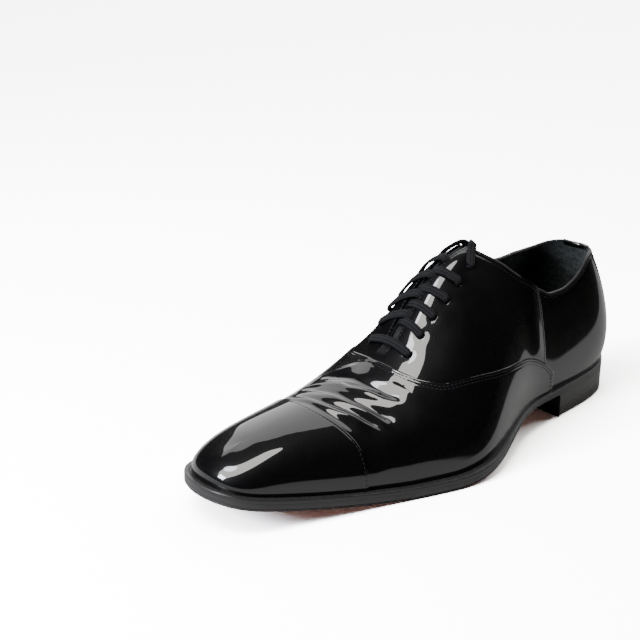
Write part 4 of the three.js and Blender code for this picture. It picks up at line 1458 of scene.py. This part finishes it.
# The floor and the room as the camera sees them, and as all else sees them
FLOOR_SEEN = (4.2, 4.2, 4.2)
FLOOR_MIRRORED = (0.34, 0.34, 0.34)
FLOOR_PAST = (0.012, 0.012, 0.012)
ROOM = (0.003, 0.003, 0.003)
ROOM_SEEN = (3.0, 3.0, 3.0)

# Edges of the mirrored floor's pale part in metres, each as where it starts and ends: outside and behind the
# outer side of the heel, and along the inner side, where it slants
PAST_OUTER = (0.096, 0.106)
PAST_BACK = (0.0, 0.03)
PAST_INNER = (-0.09, -0.075)
SLANT = 0.35


def aim(azimuth, elevation):
    """Direction from the target back to a viewer or a lamp"""
    a, e = math.radians(azimuth), math.radians(elevation)
    return Vector((math.sin(a) * math.cos(e), -math.cos(a) * math.cos(e), math.sin(e)))


def across(azimuth):
    """Level direction to the right of a viewer there"""
    a = math.radians(azimuth)
    return Vector((math.cos(a), math.sin(a), 0))


def make_camera():
    back = aim(AZIMUTH, ELEVATION)
    level = across(AZIMUTH)
    upward = back.cross(level)
    roll = math.radians(ROLL)
    right = level * math.cos(roll) + upward * math.sin(roll)
    up = upward * math.cos(roll) - level * math.sin(roll)
    data = bpy.data.cameras.new("camera")
    data.sensor_width = SENSOR
    data.lens = FOCAL_PIXELS * SENSOR / PHOTO_WIDTH
    camera = bpy.data.objects.new("camera", data)
    bpy.context.collection.objects.link(camera)
    place = Vector(CAMERA_TARGET) + back * CAMERA_DISTANCE
    camera.matrix_world = Matrix.Translation(place) @ turned(right, up)
    bpy.context.scene.camera = camera


WHITE = (1.0, 1.0, 1.0)
WARM = (1.0, 0.985, 0.94)
COOL = (0.86, 0.9, 1.0)

# Soft panels that face the shoe: name, azimuth, elevation, distance, direction of the width, width and
# height, brightness, colour and shape
STRIP = Vector((0.964, -0.211, -0.161))
LAMPS = [
    ("strip_softbox", 357, 61, 1.2, STRIP, (0.5, 2.1), 11, WARM, "ELLIPSE"),
    ("second_core", 341, 63, 1.1, STRIP, (0.24, 0.36), 18, COOL, "ELLIPSE"),
    ("strip_core", 351, 27, 1.15, STRIP, (0.24, 0.34), 70, COOL, "RECTANGLE"),
    ("backdrop", 207, 41, 1.9, across(207), (3.4, 2.15), 2.6, WHITE, "RECTANGLE"),
]


def soft_light(name, azimuth, elevation, distance, broad, size, radiance, colour, shape):
    data = bpy.data.lights.new(name, "AREA")
    data.shape = shape
    data.size, data.size_y = size
    data.energy = math.pi * size[0] * size[1] * radiance
    data.color = colour
    lamp = bpy.data.objects.new(name, data)
    bpy.context.collection.objects.link(lamp)
    back = aim(azimuth, elevation)
    width = (broad - back * broad.dot(back)).normalized()
    lamp.matrix_world = Matrix.Translation(back * distance) @ turned(width, back.cross(width))
    lamp.visible_camera = False


def by_camera(tree, other, seen):
    """A colour for the camera and another one for reflections and bounced light"""
    path = tree.nodes.new("ShaderNodeLightPath")
    return tinted(tree, path.outputs["Is Camera Ray"], other, seen)


def pale_floor():
    """White paper, as bright as a studio sweep for the camera, and softer in reflections and bounced light, which
    alone see it dark past lines round the heel
    """
    material = bpy.data.materials.new("pale_floor")
    material.use_nodes = True
    tree = material.node_tree
    tree.nodes.remove(tree.nodes["Principled BSDF"])
    paper = tree.nodes.new("ShaderNodeBsdfDiffuse")
    coordinates = tree.nodes.new("ShaderNodeTexCoord")
    split = tree.nodes.new("ShaderNodeSeparateXYZ")
    tree.links.new(coordinates.outputs["Object"], split.inputs["Vector"])
    x, y = split.outputs["X"], split.outputs["Y"]
    slanted = computed(tree, "ADD", y, computed(tree, "MULTIPLY", x, SLANT))
    outer = computed(tree, "MULTIPLY", ranged(tree, x, 0, 1, *PAST_OUTER), ranged(tree, y, 0, 1, *PAST_BACK))
    behind = ranged(tree, slanted, 0, 1, *PAST_BACK)
    inner = computed(tree, "MULTIPLY", behind, ranged(tree, x, 1, 0, *PAST_INNER))
    mirrored = tinted(tree, computed(tree, "MAXIMUM", outer, inner), FLOOR_MIRRORED, FLOOR_PAST)
    tree.links.new(by_camera(tree, mirrored, FLOOR_SEEN), paper.inputs["Color"])
    fibres = texture(tree, "ShaderNodeTexNoise", 900, Detail=2.0)
    tree.links.new(bump(tree, fibres.outputs["Fac"], 0.05, 0.0002), paper.inputs["Normal"])
    tree.links.new(paper.outputs["BSDF"], tree.nodes["Material Output"].inputs["Surface"])
    return material


def make_stage():
    bm = bmesh.new()
    bmesh.ops.create_grid(bm, x_segments=8, y_segments=8, size=3)
    floor = placed("floor", bm)
    floor.data.materials.append(pale_floor())
    world = bpy.data.worlds.new("studio")
    world.use_nodes = True
    tree = world.node_tree
    tree.links.new(by_camera(tree, ROOM, ROOM_SEEN), tree.nodes["Background"].inputs["Color"])
    bpy.context.scene.world = world
    for lamp in LAMPS:
        soft_light(*lamp)


# Properties, operators and panel

def size_property(name, description, size):
    return FloatProperty(name=name, description=description, default=size * MM, min=0, precision=5,
                         unit="LENGTH")


class ShoeSizes(bpy.types.PropertyGroup):
    """Sizes of the finish that can be changed without a new last"""
    crease_depth: FloatProperty(
        name="Crease depth", description="Share of the walking creases' depth",
        default=1.0, min=0, max=1.5, subtype="FACTOR")
    stitch_pitch: size_property("Stitch pitch", "Distance from one stitch of the upper to the next", 2.4)
    stitch_length: size_property("Stitch length", "Visible length of one stitch of the upper", 1.75)
    thread_width: size_property("Thread", "Thickness of the thread", 0.42)
    welt_pitch: size_property("Welt stitch pitch", "Distance from one stitch of the welt to the next", 3.2)
    panel_wall: size_property("Leather", "Thickness of the upper's leather", 0.78)


def colour_property(name, description, default):
    return FloatVectorProperty(name=name, description=description, subtype="COLOR", default=default,
                               min=0, max=1)


class ShoeColours(bpy.types.PropertyGroup):
    """Colours of the shoe's materials"""
    patent: colour_property("Patent leather", "Colour under the gloss coat", FINISH["patent_leather"])
    lining: colour_property("Lining", "Colour of the lining and insole", FINISH["insole_leather"])
    tongue: colour_property("Tongue", "Colour of the tongue", FINISH["tongue_leather"])
    edge: colour_property("Edges", "Colour of welt, sole edge and heel", FINISH["edge_leather"])
    sole: colour_property("Sole", "Colour of the sole leather", FINISH["sole_leather"])
    rubber: colour_property("Heel rubber", "Colour of the top lift", FINISH["heel_rubber"])
    lace: colour_property("Laces", "Colour of the laces", FINISH["lace_cotton"])
    thread: colour_property("Thread", "Colour of the stitching", (0.02, 0.02, 0.022))


class SHOE_OT_stage(bpy.types.Operator):
    """Makes the camera, the floor and the lights"""
    bl_idname = "shoe.stage"
    bl_label = "Stage"
    bl_options = {"REGISTER", "UNDO"}

    def execute(self, context):
        make_camera()
        make_stage()
        return {"FINISHED"}


class SHOE_OT_lace_ends(bpy.types.Operator):
    """Makes the two free ends of the lace with their tips"""
    bl_idname = "shoe.lace_ends"
    bl_label = "Lace ends"
    bl_options = {"REGISTER", "UNDO"}

    def execute(self, context):
        for name, points in (("outer", OUTER_END), ("inner", INNER_END)):
            bm, line, free = lace_end(points)
            cotton, sleeve = material_of(woven_cotton), lace_tip(free)
            end = piece(f"lace_{name}", bm, cotton, [f"lace_end_{name}"], sharp=60)
            tip = piece(f"tip_{name}", sleeve, material_of(plastic), [f"lace_tip_{name}"])
        return {"FINISHED"}


# How far the eyelets' punches reach off the last and into it, in mm
PUNCHED = (2, -5)


def eyelet_cutters():
    """Round punches through both facings"""
    radius = EYELET_HOLE / 2 * MM
    bm = bmesh.new()
    for s in EYELET_S:
        for side in (1, -1):
            u, v = find_on_upper([s], [eyelet_x(s, side)])
            outer, inner = (Vector(skin(u, v, lift)[0]) for lift in PUNCHED)
            matrix = Matrix.Translation((outer + inner) / 2) @ pointed(outer - inner)
            bmesh.ops.create_cone(bm, cap_ends=True, segments=24, radius1=radius, radius2=radius,
                                  depth=(outer - inner).length, matrix=matrix)
    return placed("punches", bm)


# Thickness in mm of the panels that have more layers or fewer than the rest
OUTER_WALL = 1.0
INNER_WALL = 0.52
LINING_WALL = 0.94
STRIP_WALL = 0.3


class SHOE_OT_panels(bpy.types.Operator):
    """Makes the leather panels of the upper and the lining"""
    bl_idname = "shoe.panels"
    bl_label = "Upper"
    bl_options = {"REGISTER", "UNDO"}

    def execute(self, context):
        punches = eyelet_cutters()
        wall = settings().panel_wall / MM
        leather = material_of(patent_leather)
        for name, make, thick, cutters in (
            ("toe_cap", toe_cap, wall, None), ("vamp", vamp, wall, None),
            ("quarter_outer", front_quarter, OUTER_WALL, punches),
            ("quarter_inner", wrap_quarter, INNER_WALL, punches),
        ):
            bm = make()
            SURFACES[name] = BVHTree.FromBMesh(bm)
            piece(name, bm, leather, ["upper"], thick, 0.22, cutters)
        napped = material_of(suede, "lining_suede", tuple(colours().lining))
        piece("lining", lining(), napped, ["upper"], LINING_WALL, 0, punches)
        bpy.data.objects.remove(punches)
        return {"FINISHED"}


class SHOE_OT_collar(bpy.types.Operator):
    """Makes the binding of the top line and the tab at the heel"""
    bl_idname = "shoe.collar"
    bl_label = "Collar"
    bl_options = {"REGISTER", "UNDO"}

    def execute(self, context):
        soft = material_of(calf, "binding_calf", tuple(colours().tongue), 0.35)
        binding = over_top_line(BINDING, BINDING_ENDS, 0.06)
        piece("collar_binding", binding, soft, (), STRIP_WALL)
        piece("heel_tab", over_top_line(tab_section(), TAB_ENDS, 0.05), material_of(patent_leather),
              (), STRIP_WALL, 0.1)
        return {"FINISHED"}


class SHOE_OT_inside(bpy.types.Operator):
    """Makes the tongue and the insole"""
    bl_idname = "shoe.inside"
    bl_label = "Tongue and insole"
    bl_options = {"REGISTER", "UNDO"}

    def execute(self, context):
        piece("tongue_leather", tongue(), material_of(calf, "tongue_calf", tuple(colours().tongue), 0.5),
              ["tongue"], TONGUE, 0.6)
        piece("sock", insole(), material_of(suede, "insole_suede", tuple(colours().lining), 0.96, 0.35),
              ["insole"])
        return {"FINISHED"}


class SHOE_OT_sole(bpy.types.Operator):
    """Makes the welt, the outsole and the heel"""
    bl_idname = "shoe.sole"
    bl_label = "Sole and heel"
    bl_options = {"REGISTER", "UNDO"}

    def execute(self, context):
        waxed = material_of(waxed_edge, "edge_leather", tuple(colours().edge))
        piece("welt_strip", welt(), waxed, ["welt"])
        piece("sole", outsole(), material_of(sole_leather), ["outsole"])
        piece("heel_block", heel_stack(), waxed, ["heel_stack"])
        piece("heel_top_piece", top_lift(), material_of(heel_rubber), ["top_lift"])
        return {"FINISHED"}


class SHOE_OT_lacing(bpy.types.Operator):
    """Runs the lace through the eyelets"""
    bl_idname = "shoe.lacing"
    bl_label = "Lacing"
    bl_options = {"REGISTER", "UNDO"}

    def execute(self, context):
        cotton = material_of(woven_cotton)
        piece("lace_straight", lace_bar(), cotton, ["lace_bar"], sharp=60)
        for k, (s, lean, arch) in enumerate(zip(EYELET_S[1:-1], OUTER_LEANS, INNER_ARCHES), 1):
            arms = joined(lace_arm(s, 1, lean, OUTER_ARCH, -CROSSING),
                          lace_arm(s, -1, INNER_LEAN, arch, CROSSING))
            piece(f"lace_cross_{k}", arms, cotton, [f"lace_crossing_{k}"], sharp=60)
        return {"FINISHED"}


# Shares of the thread's width along the slot and in the bar tack, and the welt's stitch: its share of the
# distance to the next one, its width and its height in mm
SLOT_THREAD = 1.4
TACK_THREAD = 1.7
WELT_STITCH = (0.82, 0.8, 0.6)


class SHOE_OT_stitching(bpy.types.Operator):
    """Sews the seams of the upper and the welt"""
    bl_idname = "shoe.stitching"
    bl_label = "Stitching"
    bl_options = {"REGISTER", "UNDO"}

    def execute(self, context):
        sizes = settings()
        pitch, length = sizes.stitch_pitch / MM, sizes.stitch_length / MM
        width = sizes.thread_width / MM
        rows = [(vamp_seam_line(side), "vamp", row, side, width) for side in (1, -1) for row in VAMP_ROWS]
        rows += [
            (cap_seam_line(CAP_LAP), "toe_cap", CAP_ROW, 1, width),
            (side_seam_line(), "quarter_outer", SIDE_ROW, 1, width),
            (top_line(SIDE_SEAM + 0.1, FACING_TOP, FRONT), "quarter_outer", TOP_ROW, 1, width),
            (top_line(FACING_TOP, SLOT_END - 0.05, FRONT), "quarter_outer", SLOT_ROW, 1, width * SLOT_THREAD),
            (top_line(-INNER_FACING_TOP, SIDE_SEAM - 0.05, panel_lift), "quarter_inner", TOP_ROW, 1, width),
            (top_line(-SLOT_END + 0.05, -INNER_FACING_TOP, FRONT), "quarter_inner", SLOT_ROW, 1,
             width * SLOT_THREAD),
        ]
        bm = bmesh.new()
        for line, panel, offset, sign, thick in rows:
            stitch_line(bm, line, SURFACES[panel], offset, sign, pitch, length, thick)
        bar_tack(bm, width * TACK_THREAD)
        piece("stitches", bm, material_of(thread))
        self.sew_welt(sizes.welt_pitch / MM)
        return {"FINISHED"}

    def sew_welt(self, pitch):
        """Stitches along the welt's top, round the forepart and waist"""
        u = stops([WELT_ENDS, ROUND - WELT_ENDS], 0.04)
        x, s = outline(u, WELT_ROW - edge(u))
        line = even_line(to_frame(np.stack([x, s, welt_top(s) - WELT_DENT + 0.02], -1)), pitch)
        share, width, height = WELT_STITCH
        bm = bmesh.new()
        for a, b in zip(line, line[1:]):
            stitch(bm, Vector((a + b) / 2), levelled(Vector(b - a)), (pitch * share, width, height), 8, 5)
        piece("welt_stitches", bm, material_of(thread))


STEPS = (SHOE_OT_stage, SHOE_OT_lace_ends, SHOE_OT_panels, SHOE_OT_collar, SHOE_OT_inside, SHOE_OT_sole,
         SHOE_OT_lacing, SHOE_OT_stitching)


class SHOE_PT_panel(bpy.types.Panel):
    """Lists the shoe's sizes, colours and steps"""
    bl_idname = "SHOE_PT_panel"
    bl_label = "Oxford Shoe"
    bl_space_type = "VIEW_3D"
    bl_region_type = "UI"
    bl_category = "Shoe"

    def draw(self, context):
        for group in (context.scene.shoe_sizes, context.scene.shoe_colours):
            box = self.layout.box()
            for name in group.__annotations__:
                box.prop(group, name)
        for step in STEPS:
            self.layout.operator(step.bl_idname)


CLASSES = (ShoeSizes, ShoeColours, *STEPS, SHOE_PT_panel)


def register():
    for cls in CLASSES:
        bpy.utils.register_class(cls)
    bpy.types.Scene.shoe_sizes = PointerProperty(type=ShoeSizes)
    bpy.types.Scene.shoe_colours = PointerProperty(type=ShoeColours)


def unregister():
    del bpy.types.Scene.shoe_colours
    del bpy.types.Scene.shoe_sizes
    for cls in reversed(CLASSES):
        bpy.utils.unregister_class(cls)


def main():
    register()
    for step in STEPS:
        group, name = step.bl_idname.split(".")
        getattr(getattr(bpy.ops, group), name)()


if __name__ == "__main__":
    main()
